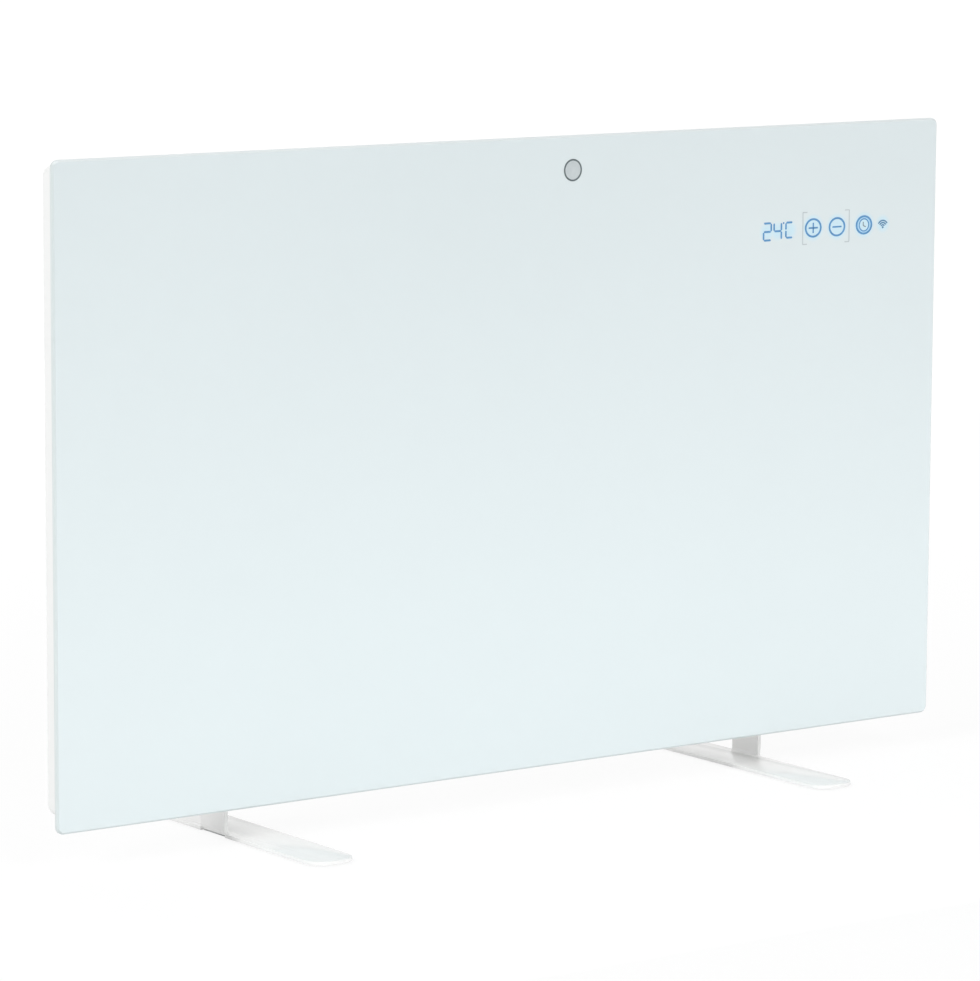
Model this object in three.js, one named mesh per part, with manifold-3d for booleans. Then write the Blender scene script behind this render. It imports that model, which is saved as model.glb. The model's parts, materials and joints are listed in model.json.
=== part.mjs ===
// Free-standing infrared panel heater. A white back-painted glass plate carries a heating film on its
// rear face. A folded steel tray closes the back and hangs on four thin rails bonded to the glass. A
// control box with the mains switch sits low on the right of the tray, and two bent steel feet hold
// the panel clear of the floor.
// Millimetres: X runs along the panel, -Y is the side the glass faces, +Z is up, Z = 0 is the floor.

import * as THREE from 'three';
import { mergeVertices } from 'three/addons/utils/BufferGeometryUtils.js';
import Module from 'manifold-3d';

const wasm = await Module();
wasm.setup();

// Driving dimensions -----------------------------------------------------------------------------

const GAP = 0.3; // between pieces that touch

const GLASS_WIDTH = 850;
const GLASS_HEIGHT = 500;
const GLASS_THICKNESS = 5;
const GLASS_CORNER = 6;
const GLASS_EDGE = 1.5; // ground round edge

const SHEET_STEEL = 1; // tray
const TRAY_REAR = 22.5; // depth of the tray's rear face behind the front of the glass
const TRAY_INSET_SIDE = 4.5; // from the glass's left and right edges
const TRAY_INSET_TOP = 5;
const TRAY_INSET_BOTTOM = 11;
const TRAY_CORNER = 8;
const TRAY_BEND = 2.5; // outer radius of the folded edges

const RAIL_SHEET = 1.2;
const RAIL_FLANGE = 14; // width bonded to the glass
const RAIL_REAR = 19; // depth of the rail's free edge

const FOOT_STEEL = 3;
const FOOT_OUTER_X = 263.5; // outer face of each foot's upright
const SOLE_WIDTH = 40;
const SOLE_LENGTH = 280;
const SOLE_CORNER = 15;
const UPRIGHT_LENGTH = 34; // front to back, where it shows below the glass
const FLANGE_BOTTOM = 40; // heights above the floor
const FLANGE_TOP = 112;
const PAD_THICKNESS = 0.7;
const PAD_INSET = 5; // from the sole's outline
const GLASS_ABOVE_SOLE = 23;

const SOLE_TOP = PAD_THICKNESS + GAP + FOOT_STEEL;
const GLASS_BOTTOM = SOLE_TOP + GLASS_ABOVE_SOLE;
const GLASS_FRONT_Y = -38; // the sole's middle is at Y = 0

const BOX = { left: 284, right: 408, bottom: 30, top: 130, depth: 30, wall: 2.2, corner: 8 };
const BOX_LIP = 8; // screwed lip round the box
const SWITCH_HEIGHT = 102; // middle of the mains switch above the glass's lower edge
const SWITCH_DEPTH = 38; // middle of the mains switch behind the front of the glass
const ROCKER_TILT = 8; // degrees each way from level
const GLAND_X = 304;
const GLAND_DEPTH = 38;
const GLAND_BORE = 4.2;
const GLAND_THREAD = 7.5; // radius

// Depths behind the front of the glass, layer by layer, and the area each layer covers
const FILM = { near: 5.3, far: 5.9, left: -401, right: 401, bottom: 28.3, top: 477.7 };
const BUS_BAR = { near: 6.2, far: 6.6, inner: 388, outer: 399 };
const MICA = { near: 6.2, far: 6.7, left: -385, right: 385, bottom: 32, top: 474 };
const REFLECTOR = { ...MICA, near: 7, far: 7.5 };
const BOARD = { ...MICA, near: 7.8, far: 15.8 };
const DISPLAY_NOTCH = { left: 224, bottom: 384 }; // upper right corner left free for the display
const BUS_BAR_BOTTOM = 36;
const BUS_BAR_TOP = { left: 470, right: 376 };
const WIRE_DEPTH = 18.7; // wires run behind the insulation board

// Shapes -----------------------------------------------------------------------------------------

// A closed solid from a geometry, with its shared vertices merged and slivers dropped
function manifoldOf(geometry) {
  const bare = new THREE.BufferGeometry();
  bare.setAttribute('position', geometry.getAttribute('position').clone());
  bare.setIndex(geometry.getIndex());
  const merged = mergeVertices(bare, 1e-4);
  const corners = merged.getIndex().array;
  const kept = [];
  for (let i = 0; i < corners.length; i += 3) {
    const [a, b, c] = corners.slice(i, i + 3);
    if (a !== b && b !== c && c !== a) kept.push(a, b, c);
  }
  return new wasm.Manifold(new wasm.Mesh({
    numProp: 3,
    vertProperties: new Float32Array(merged.getAttribute('position').array),
    triVerts: new Uint32Array(kept),
  }));
}

function geometryOf(manifold) {
  const found = manifold.getMesh();
  const geometry = new THREE.BufferGeometry();
  geometry.setAttribute('position', new THREE.BufferAttribute(found.vertProperties, 3));
  geometry.setIndex(new THREE.BufferAttribute(found.triVerts, 1));
  return geometry;
}

const sum = (geometries) => geometries.map(manifoldOf).reduce((whole, next) => whole.add(next));
const join = (geometries) => geometryOf(sum(geometries));
const cut = (body, tools) => geometryOf(manifoldOf(body).subtract(sum(tools)));
const common = (body, other) => geometryOf(manifoldOf(body).intersect(manifoldOf(other)));

// The same solid for the other side of the panel
function mirrored(geometry) {
  const other = geometry.clone().scale(-1, 1, 1);
  other.getIndex().array.reverse(); // keeps its faces pointing out
  return other;
}

// A box between three pairs of limits: along the panel, in depth and in height
function block([left, right], [near, far], [bottom, top]) {
  const geometry = new THREE.BoxGeometry(right - left, far - near, top - bottom);
  return geometry.translate((left + right) / 2, (near + far) / 2, (bottom + top) / 2);
}

// The two limits of a length about its middle
const around = (middle, length) => [middle - length / 2, middle + length / 2];

// A rectangle with round corners, as an outline in the plane of its plate
function roundedRectangle(x0, x1, z0, z1, r) {
  const shape = new THREE.Shape();
  shape.absarc(x1 - r, z0 + r, r, -Math.PI / 2, 0);
  shape.absarc(x1 - r, z1 - r, r, 0, Math.PI / 2);
  shape.absarc(x0 + r, z1 - r, r, Math.PI / 2, Math.PI);
  shape.absarc(x0 + r, z0 + r, r, Math.PI, Math.PI * 1.5);
  return shape;
}

function polygon(points) {
  return new THREE.Shape(points.map(([x, z]) => new THREE.Vector2(x, z)));
}

// A plate whose outline lies in X and Z, between two depths, with an optional rounded edge
function plate(shape, near, far, edge = 0, curveSegments = 4) {
  const geometry = new THREE.ExtrudeGeometry(shape, {
    depth: far - near - 2 * edge,
    curveSegments,
    bevelEnabled: edge > 0,
    bevelThickness: edge,
    bevelSize: edge,
    bevelOffset: -edge,
    bevelSegments: 3,
  });
  return geometry.rotateX(Math.PI / 2).translate(0, far - edge, 0);
}

// A plate whose outline lies in Y and Z, between two X positions
function sidePlate(shape, x0, x1) {
  const geometry = new THREE.ExtrudeGeometry(shape, { depth: x1 - x0, bevelEnabled: false });
  return geometry.rotateZ(Math.PI / 2).rotateY(Math.PI / 2).translate(x0, 0, 0);
}

// A turned piece: its profile gives [radius, height] from the bottom up, about the Y axis
function turned(profile, sides = 12) {
  return new THREE.LatheGeometry(profile.map(([r, h]) => new THREE.Vector2(r, h)), sides);
}

// A turned ring: its inside is the profile's bore radius
function ring(inner, outer, low, high, sides = 16) {
  return turned([[inner, low], [outer, low], [outer, high], [inner, high], [inner, low]], sides);
}

// A round bar along Y, at a place in the plate's plane
function bar(x, z, radius, near, far, sides = 12) {
  return turned([[0, near], [radius, near], [radius, far], [0, far]], sides).translate(x, 0, z);
}

// A round bar along Z, reaching equally far above and below a point
function uprightBar(x, depth, z, radius, reach, sides) {
  const profile = [[0, -reach], [radius, -reach], [radius, reach], [0, reach]];
  return turned(profile, sides).rotateX(Math.PI / 2).translate(x, depth, z);
}

// A pan head screw whose head sits on height 0 and points up the Y axis
function panScrew(headRadius, headHeight, shankRadius, shankLength, sides = 8) {
  return turned([
    [0, -shankLength],
    [shankRadius, -shankLength],
    [shankRadius, 0],
    [headRadius, 0],
    [headRadius, headHeight * 0.45],
    [headRadius * 0.72, headHeight],
    [0, headHeight],
  ], sides);
}

// A route through the given points with rounded corners, measured out point by point
class Route extends THREE.Curve {
  constructor(corners, bend) {
    super();
    this.points = [corners[0]];
    for (let i = 1; i < corners.length - 1; i += 1) {
      const enter = corners[i - 1].clone().sub(corners[i]).setLength(bend).add(corners[i]);
      const leave = corners[i + 1].clone().sub(corners[i]).setLength(bend).add(corners[i]);
      this.points.push(...new THREE.QuadraticBezierCurve3(enter, corners[i], leave).getPoints(3));
    }
    this.points.push(corners[corners.length - 1]);
  }

  getPointAt(u) {
    return this.points[Math.round(u * (this.points.length - 1))].clone();
  }

  getTangentAt(u) {
    const i = Math.round(u * (this.points.length - 1));
    const last = this.points[Math.min(i + 1, this.points.length - 1)];
    return last.clone().sub(this.points[Math.max(i - 1, 0)]).normalize();
  }
}

// An insulated six-sided wire through the given points
function wire(points, radius, bend = 6) {
  const route = new Route(points.map((p) => new THREE.Vector3(...p)), bend);
  const section = new THREE.Shape();
  section.absarc(0, 0, radius, 0, Math.PI * 2);
  const steps = route.points.length - 1;
  return new THREE.ExtrudeGeometry(section, { extrudePath: route, steps, curveSegments: 3 });
}

// Finishes ---------------------------------------------------------------------------------------

const WHITE_GLASS = { color: 0xe6eeee, roughness: 0.08, metalness: 0 };
const WHITE_PAINT = { color: 0xf0f0ee, roughness: 0.35, metalness: 0 };
const WHITE_PLASTIC = { color: 0xeeeeec, roughness: 0.45, metalness: 0 };
const BLACK_PLASTIC = { color: 0x1c1c1e, roughness: 0.5, metalness: 0 };
const BLUE_PLASTIC = { color: 0x2f5f9e, roughness: 0.5, metalness: 0 };
const YELLOW_PLASTIC = { color: 0xd8b33a, roughness: 0.5, metalness: 0 };
const GREEN_BOARD = { color: 0x1f6a41, roughness: 0.5, metalness: 0 };
const RED_WIRE = { color: 0xa42a25, roughness: 0.5, metalness: 0 };
const BROWN_MICA = { color: 0xb49a6c, roughness: 0.6, metalness: 0 };
const BLACK_CARBON = { color: 0x262626, roughness: 0.7, metalness: 0 };
const FIBRE = { color: 0xd9d4c4, roughness: 0.95, metalness: 0 };
const SILICONE = { color: 0xd0d2d2, roughness: 0.7, metalness: 0 };
const RUBBER = { color: 0xc9cbcb, roughness: 0.85, metalness: 0 };
const ALUMINIUM = { color: 0xc8cacc, roughness: 0.3, metalness: 1 };
const ZINC_STEEL = { color: 0xb4b8ba, roughness: 0.4, metalness: 1 };
const COPPER = { color: 0xb87345, roughness: 0.35, metalness: 1 };
const BRASS = { color: 0xb99a55, roughness: 0.35, metalness: 1 };

const heater = new THREE.Group();

// Everything on the panel is placed from the lower edge of the glass's front face: X along the
// panel, Y the depth behind that face, Z the height
const panel = new THREE.Group();
panel.position.set(0, GLASS_FRONT_Y, GLASS_BOTTOM);
heater.add(panel);

function place(parent, name, geometry, finish) {
  const mesh = new THREE.Mesh(join([geometry]), new THREE.MeshStandardMaterial(finish));
  mesh.geometry.computeVertexNormals();
  mesh.name = name;
  parent.add(mesh);
  return mesh;
}

// Glass and heating layers -----------------------------------------------------------------------

const glassShape = roundedRectangle(-GLASS_WIDTH / 2, GLASS_WIDTH / 2, 0, GLASS_HEIGHT, GLASS_CORNER);
place(panel, 'glass_front', plate(glassShape, 0, GLASS_THICKNESS, GLASS_EDGE), WHITE_GLASS);

// A flat layer whose upper right corner is left free for the display
function layer({ near, far, left, right, bottom, top }) {
  const outline = polygon([
    [left, bottom],
    [right, bottom],
    [right, DISPLAY_NOTCH.bottom],
    [DISPLAY_NOTCH.left, DISPLAY_NOTCH.bottom],
    [DISPLAY_NOTCH.left, top],
    [left, top],
  ]);
  return plate(outline, near, far);
}

// The overheat cut-out stands on the reflector in a round hole through the insulation board
const CUTOUT_X = 0;
const CUTOUT_Z = 405;
const CUTOUT_RADIUS = 8;
const CUTOUT_TAB = { x: 5, rear: 20.6, thickness: 0.8, width: 6 };
const CUTOUT_DISC = { step: 1.2, rise: 4, height: 9 };
const cutoutHole = bar(CUTOUT_X, CUTOUT_Z, CUTOUT_RADIUS + 3, BOARD.near - 1, BOARD.far + 1, 20);

place(panel, 'heating_film', layer(FILM), BLACK_CARBON);
place(panel, 'film_insulator', layer(MICA), BROWN_MICA);
place(panel, 'reflector_foil', layer(REFLECTOR), ALUMINIUM);
place(panel, 'insulation_board', cut(layer(BOARD), [cutoutHole]), FIBRE);

for (const [hand, side] of [['left', -1], ['right', 1]]) {
  const across = [side * BUS_BAR.inner, side * BUS_BAR.outer].sort((a, b) => a - b);
  const upright = [BUS_BAR_BOTTOM, BUS_BAR_TOP[hand]];
  place(panel, `bus_bar_${hand}`, block(across, [BUS_BAR.near, BUS_BAR.far], upright), COPPER);
}

const cutoutBody = turned([
  [0, BOARD.near],
  [CUTOUT_RADIUS, BOARD.near],
  [CUTOUT_RADIUS, BOARD.near + CUTOUT_DISC.rise],
  [CUTOUT_RADIUS - CUTOUT_DISC.step, BOARD.near + CUTOUT_DISC.rise],
  [CUTOUT_RADIUS - CUTOUT_DISC.step, BOARD.near + CUTOUT_DISC.height],
  [0, BOARD.near + CUTOUT_DISC.height],
], 20).translate(CUTOUT_X, 0, CUTOUT_Z);
const cutoutTabs = [-1, 1].map((side) => block(
  around(CUTOUT_X + side * CUTOUT_TAB.x, CUTOUT_TAB.thickness),
  [BOARD.near + CUTOUT_DISC.height - 0.1, CUTOUT_TAB.rear],
  around(CUTOUT_Z, CUTOUT_TAB.width),
));
place(panel, 'overheat_cutout', join([cutoutBody, ...cutoutTabs]), BLACK_PLASTIC);

// Rails and silicone that hold the tray to the glass ----------------------------------------------

const TRAY = {
  left: -GLASS_WIDTH / 2 + TRAY_INSET_SIDE,
  right: GLASS_WIDTH / 2 - TRAY_INSET_SIDE,
  bottom: TRAY_INSET_BOTTOM,
  top: GLASS_HEIGHT - TRAY_INSET_TOP,
  front: GLASS_THICKNESS + 0.5,
};
const RAIL_OFF = SHEET_STEEL + GAP; // from the tray's outside to a rail
const SEAL_FAR = 6.5;
const RAIL_NEAR = SEAL_FAR + GAP;
const RAIL_LEFT = TRAY.left + RAIL_OFF;
const RAIL_RIGHT = TRAY.right - RAIL_OFF;
const RAIL_BOTTOM = TRAY.bottom + RAIL_OFF;
const RAIL_TOP = TRAY.top - RAIL_OFF;

const sealShape = roundedRectangle(RAIL_LEFT + 1, RAIL_RIGHT - 1, RAIL_BOTTOM + 1, RAIL_TOP - 1, 6);
sealShape.holes.push(roundedRectangle(
  RAIL_LEFT + RAIL_FLANGE,
  RAIL_RIGHT - RAIL_FLANGE,
  RAIL_BOTTOM + RAIL_FLANGE,
  RAIL_TOP - RAIL_FLANGE,
  3,
));
place(panel, 'seal_frame', plate(sealShape, GLASS_THICKNESS + GAP, SEAL_FAR, 0, 3), SILICONE);

const COVER_SCREW_X = [-300, 0, 300];
const COVER_SCREW_DEPTH = 14;
const COVER_SHANK = 1.6;

// Screw clearance holes through the tray and rails, along Z
const coverHoles = COVER_SCREW_X.flatMap((x) => [TRAY.bottom, TRAY.top].map((z) => (
  uprightBar(x, COVER_SCREW_DEPTH, z, COVER_SHANK + GAP, 6, 8)
)));

const LONG_RAIL_END = RAIL_RIGHT - TRAY_CORNER - 1;
for (const [name, flange, web] of [
  ['rail_top', [RAIL_TOP - RAIL_FLANGE, RAIL_TOP], [RAIL_TOP - RAIL_SHEET, RAIL_TOP]],
  ['rail_bottom', [RAIL_BOTTOM, RAIL_BOTTOM + RAIL_FLANGE], [RAIL_BOTTOM, RAIL_BOTTOM + RAIL_SHEET]],
]) {
  const angle = join([
    block([-LONG_RAIL_END, LONG_RAIL_END], [RAIL_NEAR, RAIL_NEAR + RAIL_SHEET], flange),
    block([-LONG_RAIL_END, LONG_RAIL_END], [RAIL_NEAR, RAIL_REAR], web),
  ]);
  place(panel, name, cut(angle, coverHoles), ZINC_STEEL);
}

const SIDE_RAIL_LOW = RAIL_BOTTOM + RAIL_FLANGE + GAP;
const SIDE_RAIL_HIGH = RAIL_TOP - RAIL_FLANGE - GAP;
for (const [name, flange, web] of [
  ['rail_left', [RAIL_LEFT, RAIL_LEFT + RAIL_FLANGE], [RAIL_LEFT, RAIL_LEFT + RAIL_SHEET]],
  ['rail_right', [RAIL_RIGHT - RAIL_FLANGE, RAIL_RIGHT], [RAIL_RIGHT - RAIL_SHEET, RAIL_RIGHT]],
]) {
  const angle = join([
    block(flange, [RAIL_NEAR, RAIL_NEAR + RAIL_SHEET], [SIDE_RAIL_LOW, SIDE_RAIL_HIGH]),
    block(web, [RAIL_NEAR, RAIL_REAR], [SIDE_RAIL_LOW, SIDE_RAIL_HIGH]),
  ]);
  place(panel, name, angle, ZINC_STEEL);
}

// Rear tray --------------------------------------------------------------------------------------

// A box open at the front, with round corners and folded rear edges
function openBox({ left, right, bottom, top, front, rear, corner, bend, wall }) {
  const overrun = bend + 2;
  const outside = plate(
    roundedRectangle(left, right, bottom, top, corner),
    front - overrun,
    rear,
    bend,
  );
  const inside = plate(
    roundedRectangle(left + wall, right - wall, bottom + wall, top - wall, corner - wall),
    front - 2 * overrun,
    rear - wall,
    Math.max(bend - wall, 0.5),
  );
  const ahead = block([left - 1, right + 1], [front - 3 * overrun, front], [bottom - 1, top + 1]);
  return cut(outside, [inside, ahead]);
}

const FOOT_SCREW_X = FOOT_OUTER_X - SOLE_WIDTH / 2;
const FOOT_SCREW_Z = [62 - GLASS_BOTTOM, 94 - GLASS_BOTTOM];
const FOOT_SHANK = 2.5;
const footScrewPlaces = [-1, 1].flatMap((side) => FOOT_SCREW_Z.map((z) => [side * FOOT_SCREW_X, z]));
const footHoles = footScrewPlaces.map(([x, z]) => bar(x, z, FOOT_SHANK + GAP, 10, 30));

const BOX_SCREW_X = [BOX.left - BOX_LIP / 2, BOX.right + BOX_LIP / 2];
const BOX_SCREW_Z = BOX.bottom - BOX_LIP / 2;
const BOX_SHANK = 1.6;
const boxHoles = BOX_SCREW_X.map((x) => bar(x, BOX_SCREW_Z, BOX_SHANK + GAP, 10, 30, 8));

// The control box hooks into two slots at its upper edge
const HOOK = {
  x: [294, 388],
  width: 10,
  low: BOX.top + 2,
  high: BOX.top + 5,
  tip: BOX.top + 9,
  near: 19.8,
};
const hookSlots = HOOK.x.map((x) => (
  block([x - 1, x + HOOK.width + 1], [TRAY_REAR - 3, TRAY_REAR + 3], [HOOK.low - 1, HOOK.high + 1])
));

// Vent slots through the rear wall, in two bands
const SLOT = { width: 4, length: 30, pitch: 18, count: 21, heights: [55, 450] };
const slots = SLOT.heights.flatMap((z) => Array.from({ length: SLOT.count }, (_, i) => {
  const x = (i - (SLOT.count - 1) / 2) * SLOT.pitch;
  const [half, end] = [SLOT.width / 2, SLOT.length / 2];
  return block([x - half, x + half], [TRAY_REAR - 3, TRAY_REAR + 3], [z - end, z + end]);
}));

// The wires pass from the tray into the control box here
const WIRE_DOOR = { left: 308, right: 392, bottom: 98, top: 124 };
const wireDoor = block(
  [WIRE_DOOR.left, WIRE_DOOR.right],
  [TRAY_REAR - 3, TRAY_REAR + 3],
  [WIRE_DOOR.bottom, WIRE_DOOR.top],
);

const tray = openBox({
  ...TRAY,
  rear: TRAY_REAR,
  corner: TRAY_CORNER,
  bend: TRAY_BEND,
  wall: SHEET_STEEL,
});
const trayCuts = [...slots, ...coverHoles, ...footHoles, ...boxHoles, ...hookSlots, wireDoor];
place(panel, 'rear_tray', cut(tray, trayCuts), WHITE_PAINT);

COVER_SCREW_X.forEach((x, i) => {
  const screw = panScrew(3.2, 2, COVER_SHANK, 6);
  const above = screw.clone().rotateX(Math.PI / 2).translate(x, COVER_SCREW_DEPTH, TRAY.top + GAP);
  const below = screw.rotateX(-Math.PI / 2).translate(x, COVER_SCREW_DEPTH, TRAY.bottom - GAP);
  place(panel, `cover_screw_top_${i + 1}`, above, ZINC_STEEL);
  place(panel, `cover_screw_bottom_${i + 1}`, below, ZINC_STEEL);
});

// Display and touch keys -------------------------------------------------------------------------

const CARRIER = { left: 229, right: 389, bottom: 389, top: 441, wall: 2.5, near: 5.3, far: 14 };
const TOUCH_BOARD = { near: 11.3, far: 12.9 };
const KEY_Z = 415;
const KEY_X = [292.7, 317.9, 346.7]; // plus, minus and timer
const SIGN_X = 366.9; // wireless sign
const KEY_RADIUS = 8.2;

const POST = { inset: 6, width: 9, far: 11 }; // the board rests on a post in each corner
const LAMP = { width: 2.8, height: 2, near: 9.2 }; // behind each key and the sign
const CHIP = { x: [298, 310], z: [406, 418], rear: 14.8 };
const DIGITS = { x: [238.2, 272.2], z: [404.5, 424] };
const GUIDE = { x: [280.7, 375.2], z: [401, 429] };
const RADIO_BOARD = { x: [352, 376], z: [408, 428], rear: 14.2 };
const RADIO_CAN = { x: [355, 373], z: [410, 421], rear: 16.4 };

const carrierPosts = [CARRIER.left + POST.inset, CARRIER.right - POST.inset].flatMap((x) => (
  [CARRIER.bottom + POST.inset, CARRIER.top - POST.inset].map((z) => [x, z])
));
const carrierWall = block(
  [CARRIER.left, CARRIER.right],
  [CARRIER.near, CARRIER.far],
  [CARRIER.bottom, CARRIER.top],
);
const carrierInside = block(
  [CARRIER.left + CARRIER.wall, CARRIER.right - CARRIER.wall],
  [CARRIER.near - 1, CARRIER.far + 1],
  [CARRIER.bottom + CARRIER.wall, CARRIER.top - CARRIER.wall],
);
const carrierFrame = join([
  cut(carrierWall, [carrierInside]),
  ...carrierPosts.map(([x, z]) => (
    block(around(x, POST.width), [CARRIER.near, POST.far], around(z, POST.width))
  )),
]);
place(panel, 'display_carrier', carrierFrame, WHITE_PLASTIC);

const touchBoard = block(
  [CARRIER.left + CARRIER.wall + GAP, CARRIER.right - CARRIER.wall - GAP],
  [TOUCH_BOARD.near, TOUCH_BOARD.far],
  [CARRIER.bottom + CARRIER.wall + GAP, CARRIER.top - CARRIER.wall - GAP],
);
const keyLamps = [...KEY_X, SIGN_X].map((x) => (
  block(around(x, LAMP.width), [LAMP.near, TOUCH_BOARD.near + 0.2], around(KEY_Z, LAMP.height))
));
const controllerChip = block(CHIP.x, [TOUCH_BOARD.far - 0.2, CHIP.rear], CHIP.z);
place(panel, 'touch_board', join([touchBoard, controllerChip, ...keyLamps]), GREEN_BOARD);

// Three sprung touch rings on one strip, each round its key's lamp
const STRIP = { near: 10.2, far: 11, halfHeight: 1.5 };
const guideHoles = [
  ...KEY_X.map((x) => bar(x, KEY_Z, KEY_RADIUS + GAP, 4, 12, 24)),
  bar(SIGN_X, KEY_Z, 5.5, 4, 12, 16),
  block(
    [KEY_X[0], KEY_X[2]],
    [STRIP.near - GAP, 12],
    [KEY_Z - STRIP.halfHeight - GAP, KEY_Z + STRIP.halfHeight + GAP],
  ),
];
const digitDisplay = block(DIGITS.x, [CARRIER.near, POST.far], DIGITS.z);
place(panel, 'digit_display', digitDisplay, BLACK_PLASTIC);
const guideBody = block(GUIDE.x, [CARRIER.near, POST.far], GUIDE.z);
place(panel, 'key_light_guide', cut(guideBody, guideHoles), WHITE_PLASTIC);
const touchRings = KEY_X.map((x) => ring(4, KEY_RADIUS, 5.3, STRIP.far, 20).translate(x, 0, KEY_Z));
const ringStrips = [[KEY_X[0], KEY_X[1]], [KEY_X[1], KEY_X[2]]].map(([from, to]) => block(
  [from + 6, to - 6],
  [STRIP.near, STRIP.far],
  [KEY_Z - STRIP.halfHeight, KEY_Z + STRIP.halfHeight],
));
place(panel, 'touch_rings', join([...touchRings, ...ringStrips]), COPPER);

const BEHIND_BOARD = TOUCH_BOARD.far + GAP;
const radioBoard = block(RADIO_BOARD.x, [BEHIND_BOARD, RADIO_BOARD.rear], RADIO_BOARD.z);
const radioCan = block(RADIO_CAN.x, [RADIO_BOARD.rear - 0.2, RADIO_CAN.rear], RADIO_CAN.z);
place(panel, 'wireless_module', join([radioBoard, radioCan]), ZINC_STEEL);

// Control box ------------------------------------------------------------------------------------

const BOX_FRONT = TRAY_REAR + GAP;
const BOX_REAR = BOX_FRONT + BOX.depth;
const SWITCH_BODY = { halfWidth: 6.7, halfLength: 10.5, bezel: 1.6 };
const BEZEL_FACE = BOX.right + GAP + SWITCH_BODY.bezel;
const ROCKER_PIVOT_X = BEZEL_FACE - 2.6;

const boxShell = openBox({
  ...BOX,
  front: BOX_FRONT,
  rear: BOX_REAR,
  bend: 4,
});
const lipShape = roundedRectangle(
  BOX.left - BOX_LIP,
  BOX.right + BOX_LIP,
  BOX.bottom - BOX_LIP,
  BOX.top + BOX_LIP,
  5,
);
lipShape.holes.push(roundedRectangle(
  BOX.left + 1,
  BOX.right - 1,
  BOX.bottom + 1,
  BOX.top - 1,
  BOX.corner - 1,
));
const glandHole = uprightBar(GLAND_X, GLAND_DEPTH, BOX.bottom, GLAND_THREAD + 0.5, 6, 24);
const switchHole = block(
  [BOX.right - 5, BOX.right + 5],
  [SWITCH_DEPTH - SWITCH_BODY.halfWidth - GAP, SWITCH_DEPTH + SWITCH_BODY.halfWidth + GAP],
  [SWITCH_HEIGHT - SWITCH_BODY.halfLength - GAP, SWITCH_HEIGHT + SWITCH_BODY.halfLength + GAP],
);
const VENT = { left: 330, width: 3, pitch: 8, count: 7, z: [50, 88] };
const boxVents = Array.from({ length: VENT.count }, (_, i) => {
  const x = VENT.left + i * VENT.pitch;
  return block([x, x + VENT.width], [BOX_REAR - 5, BOX_REAR + 5], VENT.z);
});
const boxCuts = [glandHole, switchHole, ...boxVents, ...boxHoles];
const hooks = HOOK.x.flatMap((x) => [
  block([x, x + HOOK.width], [HOOK.near, BOX_FRONT + 1], [HOOK.low, HOOK.high]),
  block([x, x + HOOK.width], [HOOK.near, TRAY_REAR - SHEET_STEEL - GAP], [HOOK.low, HOOK.tip]),
]);
const boxWithLip = join([boxShell, plate(lipShape, BOX_FRONT, BOX_FRONT + 2), ...hooks]);
place(panel, 'control_box', cut(boxWithLip, boxCuts), WHITE_PLASTIC);

for (const [name, x] of [['box_screw_left', BOX_SCREW_X[0]], ['box_screw_right', BOX_SCREW_X[1]]]) {
  const screw = panScrew(3.2, 2, BOX_SHANK, 7).translate(x, BOX_FRONT + 2 + GAP, BOX_SCREW_Z);
  place(panel, name, screw, ZINC_STEEL);
}

// Mains switch: a housing pushed through the side of the box, and a rocker on two stub pins
const POCKET = { halfWidth: 5.2, halfLength: 9.2, depth: 7 };
const BEZEL = { width: 16.4, length: 24.4, corner: 1.5 };
const bezelShape = roundedRectangle(
  ...around(SWITCH_DEPTH, BEZEL.width),
  ...around(SWITCH_HEIGHT, BEZEL.length),
  BEZEL.corner,
);
const switchCase = block(
  [ROCKER_PIVOT_X - POCKET.depth - 4, BEZEL_FACE - 0.5],
  [SWITCH_DEPTH - SWITCH_BODY.halfWidth, SWITCH_DEPTH + SWITCH_BODY.halfWidth],
  [SWITCH_HEIGHT - SWITCH_BODY.halfLength, SWITCH_HEIGHT + SWITCH_BODY.halfLength],
);
const switchPocket = block(
  [ROCKER_PIVOT_X - POCKET.depth, BEZEL_FACE + 5],
  [SWITCH_DEPTH - POCKET.halfWidth, SWITCH_DEPTH + POCKET.halfWidth],
  [SWITCH_HEIGHT - POCKET.halfLength, SWITCH_HEIGHT + POCKET.halfLength],
);
const PIN_RADIUS = 1.1;
const PIN_END = 5.9; // from the middle of the rocker
const pinHole = bar(
  ROCKER_PIVOT_X,
  SWITCH_HEIGHT,
  PIN_RADIUS + 0.35,
  SWITCH_DEPTH - PIN_END - 0.4,
  SWITCH_DEPTH + PIN_END + 0.4,
);
const switchTabs = [-5, 5].map((z) => block(
  [ROCKER_PIVOT_X - POCKET.depth - 10, ROCKER_PIVOT_X - POCKET.depth - 3],
  [SWITCH_DEPTH - 2.4, SWITCH_DEPTH + 2.4],
  [SWITCH_HEIGHT + z - 0.4, SWITCH_HEIGHT + z + 0.4],
));
const switchBody = cut(
  join([switchCase, sidePlate(bezelShape, BOX.right + GAP, BEZEL_FACE), ...switchTabs]),
  [switchPocket, pinHole],
);
place(panel, 'switch_body', switchBody, BLACK_PLASTIC);

const ROCKER = { halfWidth: 4.8, halfLength: 8, endRise: 4.2, dip: 3 };
const rockerShape = polygon([
  [-4.5, -3],
  [0, -ROCKER.halfLength],
  [ROCKER.endRise, -ROCKER.halfLength],
  [ROCKER.dip, -1],
  [ROCKER.dip, 1],
  [ROCKER.endRise, ROCKER.halfLength],
  [0, ROCKER.halfLength],
  [-4.5, 3],
]);
const rockerBody = join([
  plate(rockerShape, -ROCKER.halfWidth, ROCKER.halfWidth),
  bar(0, 0, PIN_RADIUS, -PIN_END, PIN_END),
]);
const rocker = place(panel, 'switch_rocker', rockerBody, BLACK_PLASTIC);
rocker.position.set(ROCKER_PIVOT_X, SWITCH_DEPTH, SWITCH_HEIGHT);
rocker.rotation.y = THREE.MathUtils.degToRad(ROCKER_TILT); // off: the lower end is pressed in

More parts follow.
